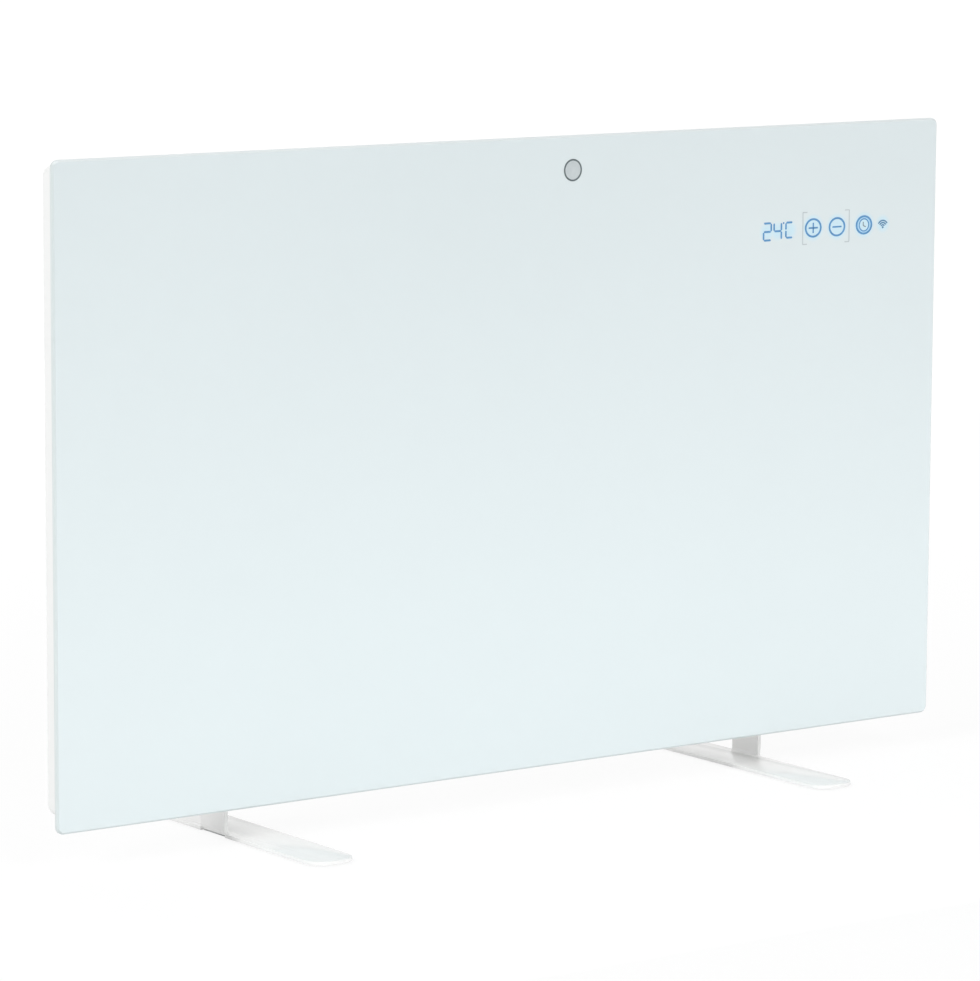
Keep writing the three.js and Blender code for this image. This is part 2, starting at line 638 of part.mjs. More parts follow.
// Cable gland in the floor of the box, with its lock nut inside
const glandBody = turned([
  [GLAND_BORE, -14],
  [6.6, -14],
  [9.2, -10.5],
  [9.6, -5],
  [11, -5],
  [11, -GAP],
  [GLAND_THREAD, -GAP],
  [GLAND_THREAD, 11],
  [GLAND_BORE, 11],
  [GLAND_BORE, -14],
], 24).rotateX(Math.PI / 2).translate(GLAND_X, GLAND_DEPTH, BOX.bottom);
place(panel, 'cable_gland', glandBody, WHITE_PLASTIC);
const nutSeat = BOX.bottom + BOX.wall;
const glandNut = ring(GLAND_THREAD + GAP, 11, 0, 4, 6)
  .rotateX(Math.PI / 2)
  .translate(GLAND_X, GLAND_DEPTH, nutSeat + GAP);
const nutThread = uprightBar(GLAND_X, GLAND_DEPTH, nutSeat + 2.5, GLAND_THREAD + GAP, 3.5, 24);
place(panel, 'gland_nut', cut(glandNut, [nutThread]), WHITE_PLASTIC);

// Parts beside the board, each with its limits along the panel and in height, and its rear's depth
const CORD_CLAMP = { x: [292, 316], z: [45, 53], rear: 47, bore: 4 };
const TERMINALS = { x: [289, 319], z: [58, 76], rear: 38, pitch: 9.5, well: 2.4, wellFloor: 33 };
const TILT_SWITCH = { x: [288, 305], z: [82, 100], rear: 38 };
const EARTH_STUD = { x: 297, z: 114, radius: 2, nut: 4, rear: 32 };

const clampBody = block(CORD_CLAMP.x, [BOX_FRONT, CORD_CLAMP.rear], CORD_CLAMP.z);
const clampBore = uprightBar(GLAND_X, GLAND_DEPTH, CORD_CLAMP.z[0], CORD_CLAMP.bore, 15, 16);
place(panel, 'cord_clamp', cut(clampBody, [clampBore]), WHITE_PLASTIC);

const terminalBody = block(TERMINALS.x, [BOX_FRONT, TERMINALS.rear], TERMINALS.z);
const terminalWells = [-1, 0, 1].map((i) => {
  const x = GLAND_X + i * TERMINALS.pitch;
  const z = (TERMINALS.z[0] + TERMINALS.z[1]) / 2;
  return bar(x, z, TERMINALS.well, TERMINALS.wellFloor, TERMINALS.rear + 2, 10);
});
place(panel, 'terminal_block', cut(terminalBody, terminalWells), WHITE_PLASTIC);
const tiltSwitch = block(TILT_SWITCH.x, [BOX_FRONT, TILT_SWITCH.rear], TILT_SWITCH.z);
place(panel, 'tilt_switch', tiltSwitch, BLUE_PLASTIC);
const earthStud = join([
  bar(EARTH_STUD.x, EARTH_STUD.z, EARTH_STUD.radius, BOX_FRONT, EARTH_STUD.rear),
  bar(EARTH_STUD.x, EARTH_STUD.z, EARTH_STUD.nut, BOX_FRONT + 2, BOX_FRONT + 5, 6),
]);
place(panel, 'earth_stud', earthStud, BRASS);

// Power board and what stands on it, given in the same way
const BARE_BOARD = { x: [324, 402], z: [40, 92] };
const STANDOFF_X = [328, 398];
const STANDOFF_Z = [44, 88];
const CARRIER_PLATE = { x: [322, 404], z: [38, 94], thickness: 1.5 };
const PLUG_SOCKET = { x: [333, 347], z: [82, 90], rear: 33 };
const RELAY = { x: [332, 350], z: [52, 74], rear: 45.5 };
const CORE = { x: [356, 380], z: [50, 70], front: 38.5, back: 42.5, rear: 47 };
const WINDING = { x: [359, 377], z: [47.5, 72.5] };
const FILTER = { x: [385, 398], z: [52, 78], rear: 43 };
const SMOOTHING = { x: 360, z: 82, radius: 5, rear: 44 };
const FUSE = { x: 340, z: 45, depth: 35.5, length: 20, cap: 5, capRadius: 3, glassRadius: 2.5 };
const FUSE_CLIP = { x: [341, 356], width: 3, height: 4.8, rear: 34 };

const standoffPlaces = STANDOFF_X.flatMap((x) => STANDOFF_Z.map((z) => [x, z]));
const POWER_BOARD = { near: BOX_FRONT + 5.2, far: BOX_FRONT + 6.8 };
const ON_BOARD = POWER_BOARD.far + GAP;
const boardHoles = standoffPlaces.map(([x, z]) => bar(x, z, 1.6, BOX_FRONT, 40, 8));
const carrierPins = standoffPlaces.map(([x, z]) => turned([
  [0, BOX_FRONT + 1],
  [3, BOX_FRONT + 1],
  [3, POWER_BOARD.near - GAP],
  [1.3, POWER_BOARD.near - GAP],
  [1.3, ON_BOARD],
  [2.2, ON_BOARD],
  [1, ON_BOARD + 2],
  [0, ON_BOARD + 2],
], 8).translate(x, 0, z));
const carrierPlate = block(
  CARRIER_PLATE.x,
  [BOX_FRONT, BOX_FRONT + CARRIER_PLATE.thickness],
  CARRIER_PLATE.z,
);
place(panel, 'board_carrier', join([carrierPlate, ...carrierPins]), WHITE_PLASTIC);
const BOARD_TAB = { x: [372, 384], z: 86, reach: 38, thickness: 0.8, width: 6 };
const IN_BOARD = POWER_BOARD.far - 0.2; // what is soldered in reaches into the board
const boardTabs = BOARD_TAB.x.map((x) => block(
  around(x, BOARD_TAB.thickness),
  [IN_BOARD, BOARD_TAB.reach],
  around(BOARD_TAB.z, BOARD_TAB.width),
));
const boardSocket = block(PLUG_SOCKET.x, [IN_BOARD, PLUG_SOCKET.rear], PLUG_SOCKET.z);
const bareBoard = block(BARE_BOARD.x, [POWER_BOARD.near, POWER_BOARD.far], BARE_BOARD.z);
const powerBoard = join([cut(bareBoard, boardHoles), boardSocket, ...boardTabs]);
place(panel, 'power_board', powerBoard, GREEN_BOARD);

place(panel, 'relay', block(RELAY.x, [ON_BOARD, RELAY.rear], RELAY.z), BLUE_PLASTIC);
const transformer = join([
  block(CORE.x, [ON_BOARD, CORE.front], CORE.z),
  block(WINDING.x, [CORE.front - 0.5, CORE.back + 0.5], WINDING.z),
  block(CORE.x, [CORE.back, CORE.rear], CORE.z),
]);
place(panel, 'transformer', transformer, YELLOW_PLASTIC);
place(panel, 'filter_capacitor', block(FILTER.x, [ON_BOARD, FILTER.rear], FILTER.z), YELLOW_PLASTIC);
const smoothingCan = bar(SMOOTHING.x, SMOOTHING.z, SMOOTHING.radius, ON_BOARD, SMOOTHING.rear, 16);
place(panel, 'smoothing_capacitor', smoothingCan, BLACK_PLASTIC);
const fuseTube = turned([
  [0, 0],
  [FUSE.capRadius, 0],
  [FUSE.capRadius, FUSE.cap],
  [FUSE.glassRadius, FUSE.cap],
  [FUSE.glassRadius, FUSE.length - FUSE.cap],
  [FUSE.capRadius, FUSE.length - FUSE.cap],
  [FUSE.capRadius, FUSE.length],
  [0, FUSE.length],
]).rotateZ(-Math.PI / 2).translate(FUSE.x, FUSE.depth, FUSE.z);
const fuseClips = FUSE_CLIP.x.map((x) => block(
  [x, x + FUSE_CLIP.width],
  [ON_BOARD, FUSE_CLIP.rear],
  around(FUSE.z, FUSE_CLIP.height),
));
place(panel, 'fuse', join([fuseTube, ...fuseClips]), ALUMINIUM);

// The air sensor looks down through the gap above the tray's lower wall
const AIR_SENSOR = { x: 326, width: 12, z: [13.8, 20], near: 12, far: 20.5 };
const airSensor = join([
  block(around(AIR_SENSOR.x, AIR_SENSOR.width), [AIR_SENSOR.near, AIR_SENSOR.far], AIR_SENSOR.z),
  bar(AIR_SENSOR.x, 16, 2, 8.8, AIR_SENSOR.near + 1),
]);
place(panel, 'air_sensor', airSensor, BLACK_PLASTIC);

// Wires: out of the heating film's bus bars, through the cut-out and down to the power board ------

const POWER_WIRE = 1.2;
const SIGNAL_WIRE = 1.5;
const BUS_BAR_X = (BUS_BAR.inner + BUS_BAR.outer) / 2;
const BUS_BAR_BACK = BUS_BAR.far + GAP;
const TAB_END = 20.6 - 1.9;
const IN_BOX = 41; // depth of the wires' run inside the control box

place(panel, 'heater_wire_left', wire([
  [-BUS_BAR_X, BUS_BAR_BACK, CUTOUT_Z],
  [-BUS_BAR_X, WIRE_DEPTH, CUTOUT_Z],
  [CUTOUT_X - 5.4 - GAP, TAB_END, CUTOUT_Z],
], POWER_WIRE), RED_WIRE);
place(panel, 'cutout_wire', wire([
  [CUTOUT_X + 5.4 + GAP, TAB_END, CUTOUT_Z],
  [200, WIRE_DEPTH, CUTOUT_Z],
  [200, WIRE_DEPTH, 370],
  [316, WIRE_DEPTH, 370],
  [316, WIRE_DEPTH, 111],
  [316, IN_BOX, 111],
  [BOARD_TAB.x[0], IN_BOX + 4, 111],
  [BOARD_TAB.x[0], IN_BOX + 4, BOARD_TAB.z],
  [BOARD_TAB.x[0], BOARD_TAB.reach + GAP, BOARD_TAB.z],
], POWER_WIRE, 3), RED_WIRE);
place(panel, 'heater_wire_right', wire([
  [BUS_BAR_X, BUS_BAR_BACK, 150],
  [BUS_BAR_X, WIRE_DEPTH, 150],
  [BOARD_TAB.x[1], WIRE_DEPTH, 146],
  [BOARD_TAB.x[1], WIRE_DEPTH, 118],
  [BOARD_TAB.x[1], IN_BOX + 4, 118],
  [BOARD_TAB.x[1], IN_BOX + 4, BOARD_TAB.z],
  [BOARD_TAB.x[1], BOARD_TAB.reach + GAP, BOARD_TAB.z],
], POWER_WIRE, 3), RED_WIRE);
const signalWire = wire([
  [343, 17.4, 395],
  [343, 17.8, 104],
  [343, 36, 104],
  [343, 36, 89],
], SIGNAL_WIRE, 5);
const signalPlugs = [
  block([336, 350], [BEHIND_BOARD, 19.2], [394, 402]),
  block([340.3, 346.5], [33 + GAP, 39], [82.5, 89.5]),
];
place(panel, 'signal_cable', join([signalWire, ...signalPlugs]), BLACK_PLASTIC);
const sensorWire = wire([
  [326, 18, 20 + GAP],
  [326, 18, 101],
  [326, 36, 101],
  [336.5, 36, 101],
  [336.5, 36, 89],
], POWER_WIRE, 4);
const sensorPlug = block([333.5, 339.7], [33 + GAP, 39], [82.5, 89.5]);
place(panel, 'sensor_wire', join([sensorWire, sensorPlug]), BLACK_PLASTIC);

// Feet -------------------------------------------------------------------------------------------

const UPRIGHT_FRONT = GLASS_FRONT_Y + TRAY_REAR + GAP;
const UPRIGHT_REAR = UPRIGHT_FRONT + UPRIGHT_LENGTH;
const SOLE_BOTTOM = PAD_THICKNESS + GAP;
const BEND = 3; // inside radius where the steel is bent
const OUTER_BEND = BEND + FOOT_STEEL; // outside radius there

// A flat bar along the floor, an upright bent up from its outer edge, and a flange bent in from the
// upright's front edge that lies against the tray. Drawn for the right foot and mirrored for the left.
function foot(side) {
  const soleShape = roundedRectangle(
    FOOT_OUTER_X - SOLE_WIDTH,
    FOOT_OUTER_X,
    -SOLE_LENGTH / 2,
    SOLE_LENGTH / 2,
    SOLE_CORNER,
  );
  const sole = new THREE.ExtrudeGeometry(soleShape, {
    depth: FOOT_STEEL,
    bevelEnabled: false,
    curveSegments: 6,
  }).translate(0, 0, SOLE_BOTTOM);
  const upright = sidePlate(polygon([
    [UPRIGHT_FRONT, SOLE_BOTTOM + 1],
    [UPRIGHT_REAR, SOLE_BOTTOM + 1],
    [UPRIGHT_REAR, FLANGE_BOTTOM + 12],
    [UPRIGHT_FRONT + FOOT_STEEL + 6, FLANGE_TOP],
    [UPRIGHT_FRONT, FLANGE_TOP],
  ]), FOOT_OUTER_X - FOOT_STEEL, FOOT_OUTER_X);
  const flangeShape = roundedRectangle(
    FOOT_OUTER_X - SOLE_WIDTH,
    FOOT_OUTER_X + 10,
    FLANGE_BOTTOM,
    FLANGE_TOP,
    6,
  );
  const beyond = block([FOOT_OUTER_X, FOOT_OUTER_X + 20], [-50, 50], [0, 200]);
  const flange = cut(plate(flangeShape, UPRIGHT_FRONT, UPRIGHT_FRONT + FOOT_STEEL), [beyond]);
  const inside = FOOT_OUTER_X - FOOT_STEEL;
  const soleBend = common(
    bendFillet().rotateX(Math.PI / 2).translate(inside, UPRIGHT_REAR, SOLE_TOP),
    block([0, 400], [UPRIGHT_FRONT, UPRIGHT_REAR], [0, 20]),
  );
  const flangeBend = common(
    bendFillet().translate(inside, UPRIGHT_FRONT + FOOT_STEEL, FLANGE_BOTTOM),
    block([0, 400], [-50, 50], [FLANGE_BOTTOM, FLANGE_TOP]),
  );
  // What the outside of each bend lacks from a square corner
  const bendX = inside - BEND;
  const soleCorner = cut(
    block(
      [bendX, FOOT_OUTER_X + 1],
      [UPRIGHT_FRONT, UPRIGHT_REAR],
      [SOLE_BOTTOM - 1, SOLE_BOTTOM + OUTER_BEND],
    ),
    [bar(bendX, SOLE_BOTTOM + OUTER_BEND, OUTER_BEND, UPRIGHT_FRONT - 1, UPRIGHT_REAR + 1, 32)],
  );
  const flangeCorner = cut(
    block(
      [bendX, FOOT_OUTER_X + 1],
      [UPRIGHT_FRONT - 1, UPRIGHT_FRONT + OUTER_BEND],
      [FLANGE_BOTTOM, FLANGE_TOP + 1],
    ),
    [uprightBar(bendX, UPRIGHT_FRONT + OUTER_BEND, FLANGE_BOTTOM, OUTER_BEND, FLANGE_TOP, 32)],
  );
  const holes = FOOT_SCREW_Z.map((z) => (
    bar(FOOT_SCREW_X, z + GLASS_BOTTOM, FOOT_SHANK + GAP, UPRIGHT_FRONT - 2, UPRIGHT_FRONT + 10)
  ));
  const square = join([sole, upright, flange, soleBend, flangeBend]);
  const right = cut(square, [soleCorner, flangeCorner, ...holes]);
  return side > 0 ? right : mirrored(right);
}

// The round inside of a bend: its corner is at the origin, it grows towards -X and +Y, and runs up Z
function bendFillet() {
  const shape = new THREE.Shape();
  shape.moveTo(0.5, -0.5);
  shape.lineTo(0.5, BEND);
  shape.lineTo(0, BEND);
  shape.absarc(-BEND, BEND, BEND, 0, -Math.PI / 2, true);
  shape.lineTo(-BEND, -0.5);
  return new THREE.ExtrudeGeometry(shape, { depth: 100, bevelEnabled: false, curveSegments: 3 });
}

place(heater, 'left_foot', foot(-1), WHITE_PAINT);
place(heater, 'right_foot', foot(1), WHITE_PAINT);

// A rubber strip glued along the underside of each sole
function footPad(side) {
  const shape = roundedRectangle(
    side * FOOT_SCREW_X - SOLE_WIDTH / 2 + PAD_INSET,
    side * FOOT_SCREW_X + SOLE_WIDTH / 2 - PAD_INSET,
    -SOLE_LENGTH / 2 + PAD_INSET,
    SOLE_LENGTH / 2 - PAD_INSET,
    SOLE_CORNER - PAD_INSET,
  );
  return new THREE.ExtrudeGeometry(shape, {
    depth: PAD_THICKNESS,
    bevelEnabled: false,
    curveSegments: 4,
  });
}

// A threaded plate behind the tray's rear wall, and the two screws that hold a foot's flange to it
function nutPlate(side) {
  const x = side * FOOT_SCREW_X;
  const rear = TRAY_REAR - SHEET_STEEL - GAP;
  const bare = block([x - 10, x + 10], [rear - 3, rear], [FOOT_SCREW_Z[0] - 8, FOOT_SCREW_Z[1] + 8]);
  return cut(bare, footHoles);
}

const FOOT_SCREW_SEAT = TRAY_REAR + GAP + FOOT_STEEL + GAP;
for (const [hand, side] of [['left', -1], ['right', 1]]) {
  place(heater, `${hand}_foot_pad`, footPad(side), RUBBER);
  place(panel, `${hand}_foot_nut_plate`, nutPlate(side), ZINC_STEEL);
  ['lower', 'upper'].forEach((height, i) => {
    const seat = [side * FOOT_SCREW_X, FOOT_SCREW_SEAT, FOOT_SCREW_Z[i]];
    const screw = panScrew(4.8, 3, FOOT_SHANK, 9, 12).translate(...seat);
    place(panel, `${hand}_foot_screw_${height}`, screw, ZINC_STEEL);
  });
}

export default heater;
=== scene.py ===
"""An infrared panel heater on two bent steel feet: a white glass front with touch keys, a slim
folded tray behind it, and a control box with the mains switch low on its back."""

import bmesh
import bpy
import json
import math
from mathutils import Matrix, Vector


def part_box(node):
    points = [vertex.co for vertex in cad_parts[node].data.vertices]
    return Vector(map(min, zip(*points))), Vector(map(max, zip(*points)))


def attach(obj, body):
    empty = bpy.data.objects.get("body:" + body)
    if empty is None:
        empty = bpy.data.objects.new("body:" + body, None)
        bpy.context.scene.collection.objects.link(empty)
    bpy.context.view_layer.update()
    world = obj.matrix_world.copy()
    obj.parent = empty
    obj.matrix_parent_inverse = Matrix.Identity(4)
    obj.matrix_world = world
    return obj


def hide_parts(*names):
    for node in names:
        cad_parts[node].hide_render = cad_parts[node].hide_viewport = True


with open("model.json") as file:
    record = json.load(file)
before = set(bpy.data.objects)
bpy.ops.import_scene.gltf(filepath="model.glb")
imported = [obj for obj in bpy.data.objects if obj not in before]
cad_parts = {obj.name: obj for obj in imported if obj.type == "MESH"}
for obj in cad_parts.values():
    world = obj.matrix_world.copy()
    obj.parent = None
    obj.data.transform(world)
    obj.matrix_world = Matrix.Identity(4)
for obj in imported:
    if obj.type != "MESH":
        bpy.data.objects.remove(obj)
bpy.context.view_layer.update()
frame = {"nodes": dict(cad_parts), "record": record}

# Camera -----------------------------------------------------------------------------------------
# The photograph was taken from the left, a little above the heater's upper edge, with a long lens.

camera_place = Vector((-2.2242, -3.0541, 0.8009))
camera_azimuth = math.radians(-36.022)
camera_elevation = math.radians(8.36)
camera_roll = math.radians(0.29)
sensor_width = 36  # mm
lens_length = 177.25  # mm
view_depth = 50

camera = bpy.data.objects.new("camera", bpy.data.cameras.new("camera"))
camera.data.sensor_width = sensor_width
camera.data.lens = lens_length
camera.data.clip_end = view_depth
camera.matrix_world = (
    Matrix.Translation(camera_place)
    @ Matrix.Rotation(camera_azimuth, 4, "Z")
    @ Matrix.Rotation(math.pi / 2 - camera_elevation, 4, "X")
    @ Matrix.Rotation(camera_roll, 4, "Z")
)
bpy.context.collection.objects.link(camera)
bpy.context.scene.camera = camera
bpy.context.scene.view_settings.view_transform = "Standard"

# Studio -----------------------------------------------------------------------------------------
# A plain white floor and white surroundings. One soft lamp stands high on the left, one in front
# and one behind, and a wide low one near the glass lights its lower part. Seen by the camera or in
# a reflection, the floor and the surroundings are plain white.


class Reading:
    """One output of a shader's nodes. A sum or a product of it adds a Math node."""

    def __init__(self, socket):
        self.socket = socket

    def math(self, operation, *values):
        return Nodes(self.socket.id_data).node("ShaderNodeMath", {"operation": operation}, list(values))

    def __add__(self, other):
        return self.math("ADD", self, other)

    def __mul__(self, other):
        return self.math("MULTIPLY", self, other)

    __radd__ = __add__
    __rmul__ = __mul__

    def or_more(self, other):
        """The larger of the two."""
        return self.math("MAXIMUM", self, other)


class Nodes:
    """The node tree of a material or of the world."""

    def __init__(self, tree):
        self.tree = tree

    def node(self, kind, settings=None, values=(), output=0):
        """Adds a node: its settings, then the values or links of its sockets by name or number."""
        node = self.tree.nodes.new(kind)
        for name, value in (settings or {}).items():
            setattr(node, name, value)
        pairs = values.items() if isinstance(values, dict) else enumerate(values)
        for name, value in pairs:
            self.feed(node.inputs[name], value)
        return Reading(node.outputs[output])

    def feed(self, socket, value):
        """Links a reading to a socket, or sets the socket to a number, a vector or a colour."""
        if isinstance(value, Reading):
            self.tree.links.new(value.socket, socket)
        elif isinstance(value, tuple) and len(value) == 3 and socket.type == "RGBA":
            socket.default_value = (*value, 1)
        else:
            socket.default_value = value

    def mix(self, factor, first, second):
        """A colour between two colours."""
        return self.node("ShaderNodeMix", {"data_type": "RGBA"}, {0: factor, 6: first, 7: second}, 2)


def linear(red, green, blue):
    """A colour given as it looks on screen, from 0 to 255, in the numbers that a shader takes."""
    return tuple(
        level / 12.92 if level <= 0.04045 else ((level + 0.055) / 1.055) ** 2.4
        for level in (red / 255, green / 255, blue / 255)
    )


def seen_directly(nodes):
    """1 for what the camera sees, also in a reflection or through glass, 0 for rays of light."""
    path = nodes.node("ShaderNodeLightPath")
    outputs = path.socket.node.outputs
    seen = Reading(outputs["Is Camera Ray"]).or_more(Reading(outputs["Is Glossy Ray"]))
    return seen.or_more(Reading(outputs["Is Transmission Ray"]))


floor_half = 14
floor_drop = 0.0002  # keeps the floor clear of the feet
floor_white = 0.9
floor_roughness = 0.7
floor_gloss = 0.2
floor_glow_strength = 1.03
floor_shine_through = 0.85  # how far the floor's own shading gives way to plain white near the heater
plain_white_from = 0.8  # distances from the heater between which it gives way altogether
plain_white_to = 2.5

bpy.ops.object.select_all(action="DESELECT")
bpy.ops.mesh.primitive_plane_add(size=2 * floor_half, location=(0, 0, -floor_drop))
floor = bpy.context.object
floor.name = "floor"
floor_material = bpy.data.materials.new("floor")
floor_material.use_nodes = True
floor_nodes = Nodes(floor_material.node_tree)
floor_shader = floor_material.node_tree.nodes["Principled BSDF"]
floor_shader.inputs["Base Color"].default_value = (floor_white, floor_white, floor_white, 1)
floor_shader.inputs["Roughness"].default_value = floor_roughness
floor_shader.inputs["Specular IOR Level"].default_value = floor_gloss
floor_glow = floor_nodes.node("ShaderNodeEmission", values={
    "Color": (1, 1, 1),
    "Strength": floor_glow_strength,
})
floor_place = floor_nodes.node("ShaderNodeTexCoord", output="Object")
floor_distance = floor_nodes.node("ShaderNodeVectorMath", {"operation": "LENGTH"}, [floor_place], "Value")
floor_far = floor_nodes.node(
    "ShaderNodeMapRange",
    values=[floor_distance, plain_white_from, plain_white_to, floor_shine_through, 1.0],
)
floor_mix = floor_nodes.node("ShaderNodeMixShader", values={
    0: seen_directly(floor_nodes) * floor_far,
    1: Reading(floor_shader.outputs[0]),
    2: floor_glow,
})
floor_nodes.feed(floor_material.node_tree.nodes["Material Output"].inputs["Surface"], floor_mix)
floor.data.materials.append(floor_material)

surroundings_light = 0.45
world = bpy.data.worlds.new("surroundings")
world.use_nodes = True
bpy.context.scene.world = world
world_nodes = Nodes(world.node_tree)
world_level = seen_directly(world_nodes) * (1 - surroundings_light) + surroundings_light
world_nodes.feed(world.node_tree.nodes["Background"].inputs["Color"], (1, 1, 1))
world_nodes.feed(world.node_tree.nodes["Background"].inputs["Strength"], world_level)


def soft_lamp(name, place, target, size, power):
    """A lamp of a width and a height in metres, turned to a point, with its power in watts."""
    lamp = bpy.data.objects.new(name, bpy.data.lights.new(name, "AREA"))
    lamp.data.shape = "RECTANGLE"
    lamp.data.size, lamp.data.size_y = size
    lamp.data.energy = power
    lamp.location = place
    lamp.rotation_euler = (Vector(target) - Vector(place)).to_track_quat("-Z", "Y").to_euler()
    lamp.visible_camera = False
    lamp.visible_glossy = False
    bpy.context.collection.objects.link(lamp)


heater_middle = (0, 0, 0.25)
glass_lower_edge = (0, 0, 0.06)
soft_lamp("lamp_left", place=(-4.5, -0.8, 3.2), target=heater_middle, size=(2.2, 2.2), power=108)
soft_lamp("lamp_front", place=(0.9, -4.4, 3.6), target=heater_middle, size=(2.6, 2.6), power=74)
soft_lamp("lamp_low", place=(0, -0.5, 0.06), target=glass_lower_edge, size=(2.4, 0.06), power=1.25)
soft_lamp("lamp_back", place=(1.2, 3.6, 2.6), target=heater_middle, size=(2.6, 2.6), power=42)

# Glass front ------------------------------------------------------------------------------------
# One pane of 5 mm float glass, painted white on its back. Its edges are ground to a narrow bevel
# and left matt, which shows the pale green of the glass itself, and its corners are rounded.


def slab(name, low, high):
    """A box between two corners."""
    bpy.ops.object.select_all(action="DESELECT")
    size = Vector(high) - Vector(low)
    bpy.ops.mesh.primitive_cube_add(size=1, location=Vector(low) + size / 2, scale=size)
    piece = bpy.context.object
    piece.name = piece.data.name = name
    bpy.ops.object.transform_apply(location=True, rotation=True, scale=True)
    return piece


def activate(piece):
    """Selects one piece alone and makes it the active one."""
    bpy.ops.object.select_all(action="DESELECT")
    bpy.context.view_layer.objects.active = piece
    piece.select_set(True)


def choose(piece, kind, test):
    """Opens a piece in edit mode with only the edges or faces selected that pass the test."""
    activate(piece)
    bpy.ops.object.mode_set(mode="EDIT")
    bpy.ops.mesh.select_mode(type=kind)
    bpy.ops.mesh.select_all(action="DESELECT")
    mesh = bmesh.from_edit_mesh(piece.data)
    for part in mesh.edges if kind == "EDGE" else mesh.faces:
        if test(part):
            part.select_set(True)
    bmesh.update_edit_mesh(piece.data)


def close_edit():
    """Leaves edit mode."""
    bpy.ops.object.mode_set(mode="OBJECT")


def along(axis):
    """Passes edges that run along an axis: 0, 1 or 2 for X, Y or Z."""
    def test(edge):
        way = edge.verts[1].co - edge.verts[0].co
        return abs(way[axis]) > 0.999 * way.length
    return test


def at(axis, *places):
    """Passes edges or faces that lie whole in a plane square to an axis."""
    def test(part):
        return any(all(abs(v.co[axis] - place) < 1e-6 for v in part.verts) for place in places)
    return test


def bevel(piece, test, width, segments):
    """Rounds the edges that pass the test, or with one segment cuts them off flat."""
    choose(piece, "EDGE", test)
    bpy.ops.mesh.bevel(offset=width, segments=segments, affect="EDGES")
    close_edit()


def plate(name, low, high, axis, corner, rim, corner_steps=10, rim_steps=3, rims=(0, 1)):
    """A flat plate square to an axis, with round corners and rounded rims."""
    piece = slab(name, low, high)
    bevel(piece, along(axis), corner, corner_steps)
    planes = [(low, high)[i][axis] for i in rims]
    bevel(piece, at(axis, *planes), rim, rim_steps)
    return piece


sharp_angle = math.radians(32)  # edges that turn further look sharp


def finish(piece, surface, slot, *nodes, body="heater"):
    """Gives a piece its material, the body that it rides on and the nodes it stands for. Its slot is not
    used.
    """
    piece.data.materials.clear()
    piece.data.materials.append(surface.material)
    activate(piece)
    bpy.ops.object.shade_smooth_by_angle(angle=sharp_angle)
    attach(piece, body)
    if nodes:
        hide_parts(*nodes)


class Surface(Nodes):
    """A material made of a Principled shader, its constants, and what varies over it."""

    def __init__(self, name, color, roughness, **constants):
        self.material = bpy.data.materials.new(name)
        self.material.use_nodes = True
        super().__init__(self.material.node_tree)
        self.shader = self.tree.nodes["Principled BSDF"]
        self.feed(self.shader.inputs["Base Color"], color)
        self.feed(self.shader.inputs["Roughness"], roughness)
        for socket, value in constants.items():
            self.feed(self.shader.inputs[socket.replace("_", " ")], value)
        self.place = self.node("ShaderNodeTexCoord", output="Object")

    def noise(self, scale, detail=2.0, stretch=None):
        """Noise from 0 to 1 in the object's metres, finer along the axes with a larger stretch."""
        place = self.place
        if stretch:
            place = self.node("ShaderNodeMapping", values={"Vector": place, "Scale": stretch})
        values = {"Vector": place, "Scale": scale, "Detail": detail}
        return self.node("ShaderNodeTexNoise", values=values)

    def axis(self, name):
        """One coordinate of the surface in metres."""
        parts = self.node("ShaderNodeSeparateXYZ", values=[self.place])
        return Reading(parts.socket.node.outputs[name])

    def near(self, point, inner, outer):
        """1 closer to a point than inner, falling to 0 at outer."""
        distance = self.node(
            "ShaderNodeVectorMath",
            {"operation": "DISTANCE"},
            [self.place, Vector(point)],
            output="Value",
        )
        return self.ramp(distance, outer, inner)

    def ramp(self, value, start, end):
        """Runs smoothly from 0 at start to 1 at end."""
        settings = {"interpolation_type": "SMOOTHSTEP"}
        return self.node("ShaderNodeMapRange", settings, [value, start, end, 0.0, 1.0])

    def color(self, value):
        self.feed(self.shader.inputs["Base Color"], value)

    def roughness(self, value):
        self.feed(self.shader.inputs["Roughness"], value)

    def bump(self, height, distance):
        """Raises the surface by up to distance metres where height is 1."""
        normal = self.node("ShaderNodeBump", values={"Height": height, "Distance": distance})
        self.feed(self.shader.inputs["Normal"], normal)


glass_low, glass_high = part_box("glass_front")
glass_face = glass_low.y
glass_bottom = glass_low.z
glass_corner = 0.006
glass_chamfer = 0.0015

# Places on the panel are given along it from its middle and up from its lower edge
key_places = {"plus": (0.2927, 0.4152), "minus": (0.3179, 0.4149), "timer": (0.3467, 0.4150)}
sign_place = (0.3669, 0.4121)
digit_limits = {  # left, right, bottom and top
    "digit_two": (0.2399, 0.2494, 0.4066, 0.4220),
    "digit_four": (0.2508, 0.2600, 0.4068, 0.4220),
    "letter_c": (0.2632, 0.2718, 0.4078, 0.4217),
}
key_glow = (0.007, 0.0125)  # full inside the first radius, gone at the second
sign_glow = (0.003, 0.009)
digit_glow = (0.003, 0.0095)
sign_rise = 0.003  # from the wireless sign's dot, where its place is, to its middle
sign_middle = (sign_place[0], sign_place[1] + sign_rise)
glow_strength = 0.75
glows = [(place, *key_glow) for place in key_places.values()]
glows.append((sign_middle, *sign_glow))
for left, right, bottom, top in digit_limits.values():
    glows.append((((left + right) / 2, (bottom + top) / 2), *digit_glow))

